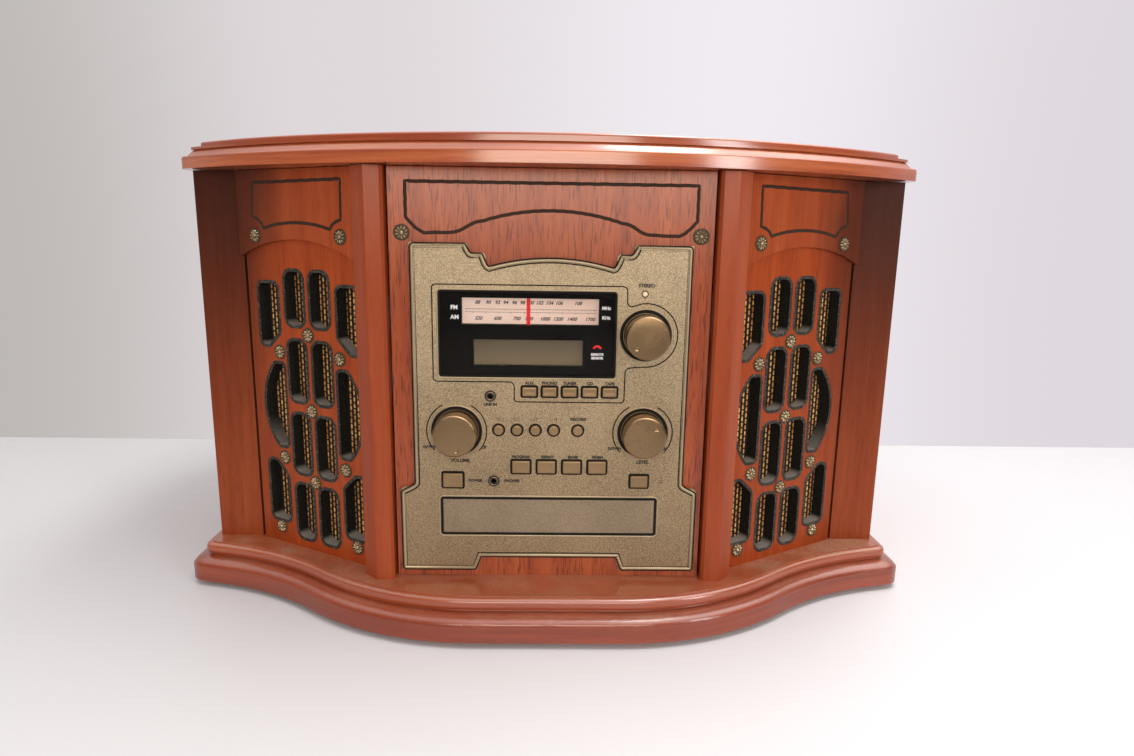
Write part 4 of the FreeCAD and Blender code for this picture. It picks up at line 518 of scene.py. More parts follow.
def woodFinish(name, grain="upright", light=None, dark=None, pores=0.35, burnAndLidShade=None, dust=0.0,
               dustSpread=None, top=None, coat=0.15, gloss=0.2, coatIor=1.5, liner=None):
    material, tree, shader, place, normal = newMaterial(name, Coat_Roughness=gloss,
                                                        Coat_IOR=coatIor, Specular_IOR_Level=0.12)
    vector = stretched(tree, place, stain[grain])
    if top:
        facing = ramp(tree, parts(tree, normal)[2], 0.6, 0.85)
        vector = put(tree, "ShaderNodeMix", {0: facing, 4: vector, 5: stretched(tree, place, top)},
                     data_type="VECTOR").outputs[1]
    figure = useGroup(tree, figureGroup, {"Vector": vector, "Light": light or stain["light"],
                                          "Dark": dark or stain["dark"], "Pores": pores})
    colour, rough = figure["Color"], figure["Roughness"]
    coatShare = coat
    if burnAndLidShade:
        mask = useGroup(tree, sunburstShadeGroup, dict(zip(("Vector", "Start", "End", "Bottom", "Depth"),
                                                      (place, *burnAndLidShade))))["Mask"]
        # the sprayed edge stain, deepened towards the top by painted shade under the lid
        colour = blendColour(tree, mask, colour, stain["burntAndLidShade"])
    if dust:
        mask = useGroup(tree, dustGroup, {"Vector": place, "Normal": normal, "Amount": dust})["Mask"]
        if dustSpread:
            # thicker towards the two ends of the cabinet
            away = ramp(tree, sums(tree, "ABSOLUTE", parts(tree, place)[0]), *dustSpread, 0.45, 1.0)
            mask = sums(tree, "MULTIPLY", mask, away)
        colour = blendColour(tree, mask, colour, stain["dust"])
        rough = sums(tree, "ADD", rough, sums(tree, "MULTIPLY", mask, 0.4))
        coatShare = sums(tree, "MULTIPLY", sums(tree, "SUBTRACT", 1.0, mask, clamp=True), coat)
    if liner:
        facing = put(tree, "ShaderNodeVectorMath", {0: normal, 1: liner}, operation="DOT_PRODUCT")
        wall = ramp(tree, sums(tree, "ABSOLUTE", facing.outputs["Value"]), 0.8, 0.6)
        flecks = ramp(tree, noise(tree, place, 900, 2), 0.4, 0.75)
        # slot walls are black paint; walls that face up turn pale: dust, plus a painted glint on the
        # slots' bottoms
        up = ramp(tree, parts(tree, normal)[2], 0.2, 0.9)
        pale = sums(tree, "ADD", sums(tree, "MULTIPLY", flecks, 0.05), sums(tree, "MULTIPLY", up, 0.8))
        wallPaintDustAndGlint = blendColour(tree, pale, (0.010, 0.009, 0.007), (0.33, 0.30, 0.26))
        colour = blendColour(tree, wall, colour, wallPaintDustAndGlint)
        rough = sums(tree, "ADD", rough, sums(tree, "MULTIPLY", wall, 0.5), clamp=True)
        coatShare = sums(tree, "MULTIPLY", sums(tree, "SUBTRACT", 1.0, wall, clamp=True), coat)
    feed(tree, shader["Base Color"], colour)
    feed(tree, shader["Roughness"], rough)
    feed(tree, shader["Coat Weight"], coatShare)
    bump(tree, shader, figure["Height"], 0.12, 0.5)
    return material


def bronzeFinish(name, colour, scale=1500.0, contrast=1.6, metal=0.45, rough=(0.42, 0.56),
                 depth=0.05, dark=None, low=None):
    material, tree, shader, place, normal = newMaterial(name, Metallic=metal)
    if low:
        colour = blendColour(tree, ramp(tree, parts(tree, place)[2], 0.06, 0.25), low, colour)
    speckle = useGroup(tree, speckleGroup, {"Vector": place, "Scale": scale, "Contrast": contrast,
                                            "Color": colour})
    result = speckle["Color"]
    if dark:
        # behind the face this moulding is plain black
        behind = ramp(tree, parts(tree, place)[1], dark * mm, (dark + 0.4) * mm)
        result = blendColour(tree, behind, result, (0.012, 0.012, 0.013))
        feed(tree, shader["Metallic"], sums(tree, "MULTIPLY",
                                            sums(tree, "SUBTRACT", 1.0, behind), metal))
    feed(tree, shader["Base Color"], result)
    cloudy = useGroup(tree, smudgeGroup, {"Vector": place, "Scale": 60.0, "Low": rough[0],
                                          "High": rough[1]})
    feed(tree, shader["Roughness"], cloudy["Roughness"])
    if depth:
        bump(tree, shader, speckle["Height"], depth, 0.6)
    return material


def plainFinish(name, colour, metal=0.0, rough=(0.35, 0.5), scale=120.0, mottle=0.12, depth=0.0,
                grain=600.0, **plain):
    # Evenly coloured stuff with a little mottling, cloudy gloss and, where depth is given, texture
    material, tree, shader, place, normal = newMaterial(name, Metallic=metal, **plain)
    speckle = useGroup(tree, speckleGroup, {"Vector": place, "Scale": grain, "Contrast": mottle * 4,
                                            "Color": colour})
    feed(tree, shader["Base Color"], speckle["Color"])
    cloudy = useGroup(tree, smudgeGroup, {"Vector": place, "Scale": scale, "Low": rough[0],
                                          "High": rough[1]})
    feed(tree, shader["Roughness"], cloudy["Roughness"])
    if depth:
        bump(tree, shader, speckle["Height"], depth, 0.6)
    return material


def studFinish():
    # Cast flowers: pale worn tops over dark hollows
    material, tree, shader, place, normal = newMaterial("antiqueBrass", Metallic=0.8)
    wear = ramp(tree, noise(tree, place, 260, 3, 0.6), 0.3, 0.65)
    colour = blendColour(tree, wear, (0.30, 0.225, 0.13), (0.60, 0.49, 0.31))
    feed(tree, shader["Base Color"], colour)
    feed(tree, shader["Roughness"], ramp(tree, wear, 0.0, 1.0, 0.55, 0.33))
    bump(tree, shader, wear, 0.03, 0.5)
    return material


def rimFinish():
    # Black paint round the slots, rubbed and dusty on its edges
    material, tree, shader, place, normal = newMaterial("slotPaint", Specular_IOR_Level=0.3)
    dusty = useGroup(tree, dustGroup, {"Vector": place, "Normal": normal, "Amount": 0.75})["Mask"]
    flecks = ramp(tree, noise(tree, place, 700, 3), 0.48, 0.7)
    share = sums(tree, "MAXIMUM", dusty, sums(tree, "MULTIPLY", flecks, 0.4))
    feed(tree, shader["Base Color"], blendColour(tree, share, (0.020, 0.017, 0.013),
                                                 (0.24, 0.205, 0.16)))
    feed(tree, shader["Roughness"], ramp(tree, share, 0.0, 1.0, 0.5, 0.85))
    bump(tree, shader, flecks, 0.08, 0.5)
    return material


def clothFinish():
    material, tree, shader, place, normal = newMaterial("grilleCloth", Specular_IOR_Level=0.2,
                                                        Sheen_Weight=0.15)
    uv = put(tree, "ShaderNodeUVMap", uv_map="UVMap").outputs[0]
    across, up, _ = parts(tree, uv)
    weave = useGroup(tree, weaveGroup, {"U": sums(tree, "MULTIPLY", across, 0.1),
                                        "V": sums(tree, "MULTIPLY", up, 0.2)})
    tint = blendColour(tree, ramp(tree, noise(tree, place, 330, 2), 0.38, 0.62),
                       (0.50, 0.17, 0.025), (0.95, 0.55, 0.16))
    thread = blendColour(tree, weave["Thread"], (0.004, 0.004, 0.004), (0.018, 0.016, 0.014))
    feed(tree, shader["Base Color"], blendColour(tree, weave["Dash"], thread, tint))
    feed(tree, shader["Roughness"], ramp(tree, weave["Dash"], 0.0, 1.0, 0.95, 0.6))
    bump(tree, shader, sums(tree, "ADD", weave["Dash"], sums(tree, "MULTIPLY", weave["Thread"], 0.3)),
         0.25)
    return material


def screenFinish():
    # The display, switched off: grey-olive, darker towards the top, with cell marks, and a painted glow
    # that makes up for the light the window glass holds back
    material, tree, shader, place, normal = newMaterial("displayCells", Specular_IOR_Level=0.5)
    x, y, z = parts(tree, place)
    fade = ramp(tree, z, 0.185, 0.203)
    colour = blendColour(tree, fade, (0.17, 0.125, 0.070), (0.105, 0.082, 0.050))
    cells = sums(tree, "MULTIPLY", ramp(tree, noise(tree, stretched(tree, place, (900, 1, 500)), 1, 1),
                                        0.45, 0.6), 0.08)
    colour = blendColour(tree, cells, colour, (0.05, 0.045, 0.03))
    feed(tree, shader["Base Color"], colour)
    feed(tree, shader["Emission Color"], colour)
    feed(tree, shader["Emission Strength"], 0.45)
    feed(tree, shader["Roughness"], ramp(tree, fade, 0.0, 1.0, 0.28, 0.36))
    return material


def glassFinish():
    material, tree, shader, place, normal = newMaterial(
        "windowGlass", Base_Color=(0.95, 0.95, 0.95), IOR=1.2, Transmission_Weight=1.0)
    cloudy = useGroup(tree, smudgeGroup, {"Vector": place, "Scale": 40.0, "Low": 0.0, "High": 0.012})
    feed(tree, shader["Roughness"], cloudy["Roughness"])
    return material


def cardFinish():
    material, tree, shader, place, normal = newMaterial("dialCard")
    warm = ramp(tree, parts(tree, place)[0], -0.02, 0.035)
    colour = blendColour(tree, warm, (0.80, 0.60, 0.50), (0.74, 0.52, 0.43))
    feed(tree, shader["Base Color"], colour)
    feed(tree, shader["Roughness"], ramp(tree, noise(tree, place, 300), 0.3, 0.7, 0.5, 0.6))
    # painted glow: the card gives off light of its own to make up for the light the window glass holds
    # back
    feed(tree, shader["Emission Color"], colour)
    feed(tree, shader["Emission Strength"], 0.42)
    return material


def hardboardFinish():
    material, tree, shader, place, normal = newMaterial("hardboard", Specular_IOR_Level=0.3)
    fibre = noise(tree, stretched(tree, place, (240, 240, 160)), 1.0, 5, 0.7)
    colour = blendColour(tree, ramp(tree, fibre, 0.3, 0.7), (0.085, 0.040, 0.018),
                         (0.19, 0.095, 0.045))
    feed(tree, shader["Base Color"], colour)
    feed(tree, shader["Roughness"], ramp(tree, fibre, 0.3, 0.7, 0.6, 0.8))
    bump(tree, shader, fibre, 0.2, 0.5)
    return material


def circuitFinish():
    material, tree, shader, place, normal = newMaterial("circuitBoard")
    tracks = put(tree, "ShaderNodeTexVoronoi", {"Vector": stretched(tree, place, (1, 0.1, 1)),
                                                "Scale": 160.0}, distance="CHEBYCHEV").outputs[0]
    colour = blendColour(tree, ramp(tree, tracks, 0.2, 0.35), (0.16, 0.12, 0.03), (0.012, 0.075, 0.03))
    feed(tree, shader["Base Color"], colour)
    feed(tree, shader["Roughness"], ramp(tree, tracks, 0.1, 0.5, 0.3, 0.5))
    return material


def platterFinish():
    # Turned alloy, with fine rings about the spindle
    material, tree, shader, place, normal = newMaterial("turnedAlloy", Metallic=0.9)
    centred = put(tree, "ShaderNodeMapping", {"Vector": place, "Location": (0.05, -0.028, 0)})
    x, y, z = parts(tree, centred.outputs[0])
    radius = sums(tree, "SQRT", sums(tree, "ADD", sums(tree, "MULTIPLY", x, x),
                                     sums(tree, "MULTIPLY", y, y)))
    combined = put(tree, "ShaderNodeCombineXYZ", {0: radius, 2: z}).outputs[0]
    rings = noise(tree, combined, 1800, 2)
    feed(tree, shader["Base Color"], blendColour(tree, rings, (0.42, 0.42, 0.43), (0.66, 0.66, 0.66)))
    feed(tree, shader["Roughness"], ramp(tree, rings, 0.3, 0.7, 0.28, 0.42))
    bump(tree, shader, rings, 0.03, 0.5)
    return material


wingTones = {"light": (0.375, 0.066, 0.013), "dark": (0.28, 0.042, 0.008)}
# edge stain (start, end, bottom, depth); its rise towards the top is painted shade under the lid
burnsAndLidShade = {"strip": (0.10, 0.225, 0.28, 0.93), "wing": (0.186, 0.232, 0.30, 0.78),
         "header": (0.170, 0.232, 0.55, 0.80)}
finishes = {
    "board": woodFinish("boardWood", light=(0.43, 0.092, 0.022), dark=(0.28, 0.046, 0.010),
                        pores=0.9, coat=0.7, gloss=0.22, coatIor=1.6),
    "post": woodFinish("postWood", light=(0.36, 0.069, 0.018), dark=(0.27, 0.044, 0.011),
                       pores=0.2, coat=0.35, gloss=0.22),
    "strip": woodFinish("stripWood", burnAndLidShade=burnsAndLidShade["strip"], pores=0.3),
    "side": woodFinish("sideWood", light=(0.36, 0.075, 0.022), dark=(0.22, 0.034, 0.010),
                       coat=0.4),
    "header": woodFinish("headerWood", burnAndLidShade=burnsAndLidShade["header"], pores=0.3),
    "wingRight": woodFinish("wingWoodRight", **wingTones, burnAndLidShade=burnsAndLidShade["wing"], liner=(0.4933, -0.8699, 0)),
    "wingLeft": woodFinish("wingWoodLeft", **wingTones, burnAndLidShade=burnsAndLidShade["wing"], liner=(-0.4933, -0.8699, 0)),
    "moulding": woodFinish("mouldingWood", grain="level", dust=0.3, pores=0.15, coat=1.0,
                           light=(0.32, 0.056, 0.019), dark=(0.21, 0.032, 0.010), gloss=0.2,
                           coatIor=1.7),
    "ledge": woodFinish("ledgeWood", grain="level", dust=0.85, dustSpread=(0.09, 0.2), pores=0.15,
                        coat=1.0, gloss=0.2, coatIor=1.9),
    "lid": woodFinish("lidWood", grain="level", dust=0.12, pores=0.25, top=(2.4, 48, 48),
                      light=(0.49, 0.122, 0.036), coat=1.0, gloss=0.18, coatIor=1.8),
    "rawWood": woodFinish("rawWood", light=(0.62, 0.42, 0.24), dark=(0.45, 0.28, 0.14), coat=0.0),
    "burnLine": plainFinish("burnedLine", (0.042, 0.024, 0.016), rough=(0.6, 0.8), mottle=0.2,
                            Specular_IOR_Level=0.1),
    "panel": bronzeFinish("bronzePanel", (0.40, 0.315, 0.195), scale=1250.0, contrast=2.4,
                          low=(0.285, 0.205, 0.117), depth=0.07),
    "panelRim": bronzeFinish("bronzeRim", (0.42, 0.34, 0.215), contrast=0.5, metal=0.6,
                             rough=(0.3, 0.4), depth=0.0),
    "door": bronzeFinish("bronzeDoor", (0.27, 0.205, 0.135), scale=1300.0, contrast=1.2, depth=0.04,
                         dark=-150.4),
    "button": bronzeFinish("bronzeButton", (0.315, 0.215, 0.112), contrast=0.35, metal=0.7,
                           rough=(0.3, 0.4), depth=0.0),
    "knob": bronzeFinish("bronzeKnob", (0.33, 0.225, 0.125), contrast=0.3, metal=0.95,
                         rough=(0.22, 0.30), depth=0.0),
    "stud": studFinish(),
    "studDark": plainFinish("brassPatinaAndShade", (0.085, 0.060, 0.036), metal=0.5, rough=(0.4, 0.6)),
    "cloth": clothFinish(),
    "glass": glassFinish(),
    "card": cardFinish(),
    "screen": screenFinish(),
    "mask": plainFinish("blackMask", (0.0035, 0.0028, 0.0030), rough=(0.45, 0.55), mottle=0.05,
                        Specular_IOR_Level=0.1),
    # painted shade: dark lines laid in grooves, engravings and gaps
    "grooveShade": plainFinish("paintedGrooveShade", (0.010, 0.008, 0.006), rough=(0.6, 0.8),
                          Specular_IOR_Level=0.15),
    "ink": plainFinish("dialInk", (0.014, 0.010, 0.010), rough=(0.5, 0.6)),
    "label": plainFinish("labelInk", (0.026, 0.019, 0.012), rough=(0.5, 0.6)),
    "slotRim": rimFinish(),
    # painted glow on the white print behind the window glass
    "whiteInkGlow": plainFinish("whiteInkGlow", (0.80, 0.80, 0.80), rough=(0.4, 0.5), mottle=0.02,
                            Emission_Color=(0.8, 0.8, 0.8), Emission_Strength=0.25),
    # painted glow on the red pointer and sensor behind the window glass
    "red": plainFinish("redPlasticGlow", (0.72, 0.010, 0.014), rough=(0.3, 0.4), mottle=0.05,
                       Emission_Color=(0.72, 0.02, 0.02), Emission_Strength=0.35),
    "lamp": plainFinish("lampLens", (0.85, 0.66, 0.48), rough=(0.2, 0.3), mottle=0.05),
    "rubber": plainFinish("rubber", (0.018, 0.018, 0.018), rough=(0.7, 0.85), depth=0.1),
    "mat": plainFinish("rubberMat", (0.020, 0.020, 0.021), rough=(0.62, 0.78), depth=0.05),
    "deck": plainFinish("deckBlack", (0.022, 0.021, 0.021), rough=(0.45, 0.6), grain=1400.0,
                        depth=0.06),
    "blackPlastic": plainFinish("blackPlastic", (0.015, 0.015, 0.016), rough=(0.4, 0.55), depth=0.04),
    "steel": plainFinish("coreSteel", (0.33, 0.33, 0.34), metal=0.85, rough=(0.35, 0.55)),
    "copper": plainFinish("copperWire", (0.50, 0.20, 0.08), metal=0.8, rough=(0.3, 0.5)),
    "speaker": plainFinish("speakerBlack", (0.020, 0.019, 0.018), rough=(0.6, 0.8), depth=0.08),
    "alloy": platterFinish(),
    "satin": plainFinish("satinAlloy", (0.58, 0.58, 0.59), metal=0.9, rough=(0.25, 0.35), mottle=0.03),
    "chrome": plainFinish("chrome", (0.70, 0.70, 0.71), metal=1.0, rough=(0.06, 0.14), mottle=0.02),
    "brass": plainFinish("brass", (0.62, 0.42, 0.16), metal=0.95, rough=(0.25, 0.4), mottle=0.06),
    "hardboard": hardboardFinish(),
    "circuit": circuitFinish(),
}
print("materials", len(finishes))


def dress(piece, finish, body="cabinet", *nodes):
    piece.data.materials.clear()
    piece.data.materials.append(finishes[finish])
    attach(piece, body)
    if nodes:
        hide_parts(*nodes)
    return piece


# Burned lines on the middle board and on the two headers; along the top of each header the line is
# painted shadow under the lid

burnedLine = {
    "width": 2.3, "lift": 0.22,
    "boardX": 95.7, "boardTop": 273.7, "boardLow": 251.0, "notchX": 84.0, "notchZ": 241.0,
    "flatX": 65.5, "flatZ": 241.6, "riseX": 46.0, "riseZ": 249.0, "crown": 256.3,
}
line = burnedLine
half = [(0.0, line["crown"])]
half += archPoints((-line["riseX"], line["riseZ"]), (line["riseX"], line["riseZ"]),
                   line["crown"] - line["riseZ"], 24)[13:]
half += ease((line["riseX"], line["riseZ"]), (line["flatX"], line["flatZ"]), "x", 8)[1:]
half += [(line["notchX"], line["notchZ"])]
half += [(88.2, 243.3), (92.3, 247.0)]
half += [(line["boardX"], line["boardLow"]), (line["boardX"], line["boardTop"]),
         (0.0, line["boardTop"])]
boardRun = shaky([(x, z + ledgeTop) for x, z in mirrored(half)])
boardLine = lineWork("board_line", [(boardRun, True)],
                     line["width"], line["lift"])
dress(moved(boardLine, y=boardFace), "burnLine")

headerLine = {
    "top": ((18.0, 274.2), (103.8, 275.2)), "inner": (103.0, 248.6), "innerNotch": (92.7, 242.1),
    "crown": (61.0, 246.6), "outerNotch": (27.3, 242.3), "outer": (15.8, 250.8), "proud": 3.5,
}
for side, word in ((1, "right"), (-1, "left")):
    line = headerLine
    arch = archPoints(line["outerNotch"], line["innerNotch"], 4.4, 12)
    # the top run of each loop is painted shadow, where the lid's shadow falls along the header's top
    loop = [line["top"][0], line["top"][1], line["inner"]]
    loop += [(98.6, 247.4), (94.8, 245.0)] + list(reversed(arch)) + [(25.6, 245.4), (21.0, 249.0)]
    loop += [line["outer"]]
    points = [(side * s, z + ledgeTop) for s, z in loop]
    piece = lineWork(f"header_line_{word}", [(shaky(points), True)], burnedLine["width"],
                     burnedLine["lift"])
    dress(ontoWing(piece, side, line["proud"]), "burnLine")
print("burned lines")


# Flower studs: eight petals round a domed middle

stud = {
    "plate": ((5.4, 0.0), (5.4, 0.5), (5.1, 0.85), (4.75, 0.85), (4.5, 0.45), (1.0, 0.45)),
    "eye": ((1.45, 0.3), (1.4, 1.05), (1.05, 1.6), (0.4, 1.85)),
    "petals": 10, "petalAt": 3.05, "petalSize": (1.5, 0.74, 1.25), "taper": 0.6,
    "onWing": ((62.8, 166.9), (32.6, 152.2), (93.0, 152.2), (62.8, 110.4), (31.4, 70.5),
               (94.2, 70.5), (62.8, 55.3), (22.8, 12.7), (102.8, 12.7)),
    "onHeader": ((18.0, 237.2), (102.0, 237.2)), "onBoard": (98.6, 241.1),
}


def makePetal():
    clearSelection()
    bpy.ops.mesh.primitive_uv_sphere_add(segments=14, ring_count=8, radius=mm)
    petal = named("petal")
    bpy.ops.object.mode_set(mode="EDIT")
    bpy.ops.mesh.select_all(action="SELECT")
    bpy.ops.mesh.bisect(plane_co=(0, 0, 0), plane_no=(0, 0, 1), clear_inner=True, use_fill=True)
    bpy.ops.mesh.select_all(action="SELECT")
    bpy.ops.transform.resize(value=stud["petalSize"], center_override=(0, 0, 0))
    bpy.ops.mesh.select_all(action="DESELECT")
    bpy.ops.mesh.select_mode(type="VERT")
    bpy.ops.object.mode_set(mode="OBJECT")
    for vertex in petal.data.vertices:
        vertex.select = vertex.co.x < -0.2 * mm
    bpy.ops.object.mode_set(mode="EDIT")
    bpy.ops.transform.resize(value=(1, stud["taper"], 0.8), center_override=(0, 0, 0))
    bpy.ops.object.mode_set(mode="OBJECT")
    closeUp(petal)
    return moved(petal, x=stud["petalAt"], z=0.42)


def makeFlower():
    pieces = [turned("stud_eye", stud["eye"], (0, 0, 0), sides=16), makePetal()]
    for i in range(1, stud["petals"]):
        piece = copied(pieces[1])
        piece.rotation_euler = (0, 0, math.tau * i / stud["petals"])
        pieces.append(settle(piece))
    return joined("flower_pattern", pieces)


def studPlaces():
    # (x, y, z, turn about Z) of every stud
    places = []
    for side in (1, -1):
        onWings = [(s, 0.0, z) for s, z in stud["onWing"]]
        onWings += [(s, headerLine["proud"], z) for s, z in stud["onHeader"]]
        places += [(*onWing(side, s, out, z + ledgeTop), side * wing["angle"])
                   for s, out, z in onWings]
        places.append((side * stud["onBoard"][0], boardFace, stud["onBoard"][1] + ledgeTop, 0.0))
    return places


def setStuds(name, pattern):
    pattern.rotation_euler = (math.radians(90), 0, 0)
    smooth(settle(pattern), 50)
    pieces = []
    for i, (x, y, z, turn) in enumerate(studPlaces()):
        piece = copied(pattern)
        piece.rotation_euler = (0, math.radians(7 * i), 0)
        settle(piece)
        piece.rotation_euler = (0, 0, math.radians(turn))
        piece.location = (x * mm, y * mm, z * mm)
        pieces.append(settle(piece))
    only(pattern)
    bpy.ops.object.delete()
    return joined(name, pieces)


dress(setStuds("flower_studs", makeFlower()), "stud", "cabinet", "rosette_studs")
# dark plates under the petals: patina, plus painted shade in the hollows between the petals
plates = setStuds("stud_plates", turned("plate_pattern", stud["plate"], (0, 0, 0), sides=32))
dress(plates, "studDark")
print("studs", len(studPlaces()))


# Grille cloths, stretched behind the wings' slots

cloth = {"start": 7.0, "end": 107.7, "low": 34.0, "high": 248.0, "behind": 10.45, "thick": 0.6}
for side, word in ((1, "right"), (-1, "left")):
    width, height = cloth["end"] - cloth["start"], cloth["high"] - cloth["low"]
    middle = (cloth["start"] + cloth["end"]) / 2
    clearSelection()
    bpy.ops.mesh.primitive_grid_add(x_subdivisions=16, y_subdivisions=32, size=1)
    piece = named(f"grille_cloth_{word}")
    piece.scale = (width * mm, height * mm, 1)
    settle(piece)
    piece.rotation_euler = (math.radians(90), 0, 0)
    piece.location = (side * middle * mm, 0, (cloth["low"] + height / 2) * mm)
    settle(piece)
    apply(piece, "SOLIDIFY", thickness=cloth["thick"] * mm, offset=0)
    ontoWing(piece, side, -cloth["behind"])
    dress(smooth(piece), "cloth")
    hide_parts("grille_cloths")
print("cloths")


# Painted rims round the slots: distances from the wing's middle line
slotShapes = {
    "rimWidth": 2.5, "rimLift": 0.5, "grow": 0.35, "inner": (2.9, 22.1), "innerRound": 6.6,
    "innerRows": ((172.5, 40.4), (115.9, 46.6), (60.0, 47.2), (7.5, 44.7)),
    "side": (28.9, 50.1), "sideRound": 5.0, "cut": (12.0, 11.0), "sideTop": (156.0, 47.5),
    "sideBase": (18.2, 49.0), "bowed": (26.6, 36.6, 49.4), "bowedRow": (79.0, 64.9),
    "bowedRound": 3.6,
}


def slotOutlines():
    shapes = slotShapes
    near, far = shapes["inner"]
    outlines = [filleted([(near, low), (far, low), (far, low + height), (near, low + height)],
                         shapes["innerRound"]) for low, height in shapes["innerRows"]]
    near, far = shapes["side"]
    cutWide, cutHigh = shapes["cut"]
    low, height = shapes["sideTop"]
    outlines.append(filleted([(near, low + cutHigh), (near + cutWide, low), (far, low),
                              (far, low + height), (near, low + height)], shapes["sideRound"]))
    low, height = shapes["sideBase"]
    outlines.append(filleted([(near, low), (far, low), (far, low + height),
                              (near + cutWide, low + height), (near, low + height - cutHigh)],
                             shapes["sideRound"]))
    near, tip, crown = shapes["bowed"]
    low, height = shapes["bowedRow"]
    bow = [(tip + rise, low + reach) for reach, rise in
           archPoints((0.0, 0.0), (height, 0.0), crown - tip, 14)]
    outlines.append(filleted([(near, low)] + bow + [(near, low + height)], shapes["bowedRound"]))
    return [inset(outline, -shapes["grow"]) for outline in outlines]


for side, word in ((1, "right"), (-1, "left")):
    runs = []
    for outline in slotOutlines():
        for half in (1, -1):
            runs.append(([(side * (wing["middle"] + half * away), z + ledgeTop)
                          for away, z in outline], True))
    piece = lineWork(f"slot_rims_{word}", runs, slotShapes["rimWidth"], slotShapes["rimLift"], 3)
    dress(ontoWing(piece, side, 0.0), "slotRim")
print("slot rims")


# Bronze panel: rim bead, engraved lines, frames, lamp; the dark lines along the rim, the engraving and
# the gaps are painted shade

panel = {
    "low": 5.0, "notch": 14.8, "notchHalf": 50.7, "notchInner": 47.7, "footHalf": 103.6,
    "footTop": 63.0, "half": 93.7, "stepTop": 70.5, "top": 235.0, "flatInner": 57.4,
    "ogee": (52.5, 228.8), "tipOuter": 46.3, "tip": (41.0, 220.3), "arch": 226.2,
    "rimInset": 1.8, "rimWidth": 2.0, "rimLift": 0.8,
}


def panelOutline():
    p = panel
    half = [(0.0, p["notch"]), (p["notchInner"], p["notch"]), (p["notchHalf"], p["low"] + 1.5),
            (p["notchHalf"] + 1.5, p["low"]), (p["footHalf"] - 1.5, p["low"]),
            (p["footHalf"], p["low"] + 1.5), (p["footHalf"], p["footTop"])]
    half += ease((p["footHalf"], p["footTop"]), (p["half"], p["stepTop"]), "z", 10)[1:]
    half += [(p["half"], p["top"] - 2.5), (p["half"] - 0.8, p["top"] - 0.8),
             (p["half"] - 2.5, p["top"])]
    half += ease((p["flatInner"], p["top"]), p["ogee"], "x", 8)
    half += [(p["tipOuter"], p["ogee"][1])]
    half += ease((p["tipOuter"], p["ogee"][1]), p["tip"], "x", 8)[1:]
    arch = archPoints((-p["tip"][0], p["tip"][1]), p["tip"], p["arch"] - p["tip"][1], 24)
    half += list(reversed(arch[12:24]))
    half[-1] = (0.0, half[-1][1])
    return [(x, z + ledgeTop) for x, z in mirrored(half)]


outline = panelOutline()
rim = lineWork("panel_rim", [(inset(outline, panel["rimInset"]), True)], panel["rimWidth"],
               panel["rimLift"], 3)
dress(moved(rim, y=panelFace), "panelRim")
# painted shade along both edges of the rim bead
rimLines = lineWork("panel_rim_groove", [(inset(outline, 3.4), True), (inset(outline, 0.4), True)],
                    0.9, 0.12)
dress(moved(rimLines, y=panelFace), "grooveShade")

engraved = {
    "line": 0.85, "lift": 0.14,
    "left": -79.3, "right": 50.0, "top": 207.9, "low": 142.4, "footLeft": -24.5, "footRight": 50.5,
    "footLow": 128.6, "knobX": 63.9, "knobZ": 175.2, "ring": 19.0, "neck": 199.4, "neckLow": 151.3,
}


def bezelLine():
    e = engraved
    points = [(e["left"] + 2, e["top"]), (e["right"] - 2.5, e["top"])]
    points += ringPoints(e["right"] - 2.5, e["top"] - 3.5, 3.5, 90, 20, 5)[1:]
    points += ringPoints(e["right"] + 4.2, e["neck"] - 1.8, 3.2, 190, 262, 5)
    points += ringPoints(e["knobX"], e["knobZ"], e["ring"] + 2.6, 98, -92, 30)
    points += [(e["knobX"] - 6, e["neckLow"] + 2.2)]
    points += ringPoints(e["footRight"] + 3.6, e["neckLow"] - 1.8, 3.4, 90, 180, 5)
    points += ringPoints(e["footRight"] - 2.4, e["footLow"] + 2.4, 2.4, 0, -90, 5)
    points += ringPoints(e["footLeft"] + 2.4, e["footLow"] + 2.4, 2.4, -90, -180, 5)
    points += ringPoints(e["footLeft"] - 3.4, e["low"] - 3.4, 3.4, 0, 90, 5)
    points += ringPoints(e["left"] + 2.4, e["low"] + 2.4, 2.4, -90, -180, 5)
    points += ringPoints(e["left"] + 2.4, e["top"] - 2.4, 2.4, 180, 90, 5)
    return [(x, z + ledgeTop) for x, z in points]


controls = {
    "knobs": {"tuning": (63.9, 175.2, 225), "volume": (-64.0, 107.5, 278), "level": (64.1, 107.4, 38)},
    "function": [(-14.2 + 13.67 * i, 135.9, 10.4, 7.1) for i in range(5)],
    "mode": [(-19.8 + 17.6 * i, 82.4, 13.1, 9.5) for i in range(4)],
    "power": (-67.0, 72.4, 14.4, 10.9), "eject": (62.6, 72.4, 12.8, 9.2),
    "transport": [(-35.2, 108.7), (-22.6, 108.7), (-10.0, 108.7), (2.6, 108.7), (19.2, 108.7)],
    "window": (-74.7, 146.3, 43.4, 203.5), "door": (-74.0, 33.7, 74.0, 58.1),
    "doorFrame": (-76.6, 31.2, 76.6, 60.6), "jacks": ((-40.8, 132.5), (-38.7, 71.9)),
}
lines = [(bezelLine(), True)]
for label in ("volume", "level"):
    x, z, _ = controls["knobs"][label]
    lines.append((ringPoints(x, z + ledgeTop, 20.6, 118, 222, 16), False))
    lines.append((ringPoints(x, z + ledgeTop, 20.6, -42, 62, 16), False))
# the engraved lines are drawn as painted shade
dress(moved(lineWork("panel_engraving", lines, engraved["line"], engraved["lift"]), y=panelFace),
      "grooveShade")


def frameRun(box, grow, corner):
    left, low, right, high = box
    return (roundedRectangle(left - grow, low - grow + ledgeTop, right + grow,
                             high + grow + ledgeTop, corner), True)


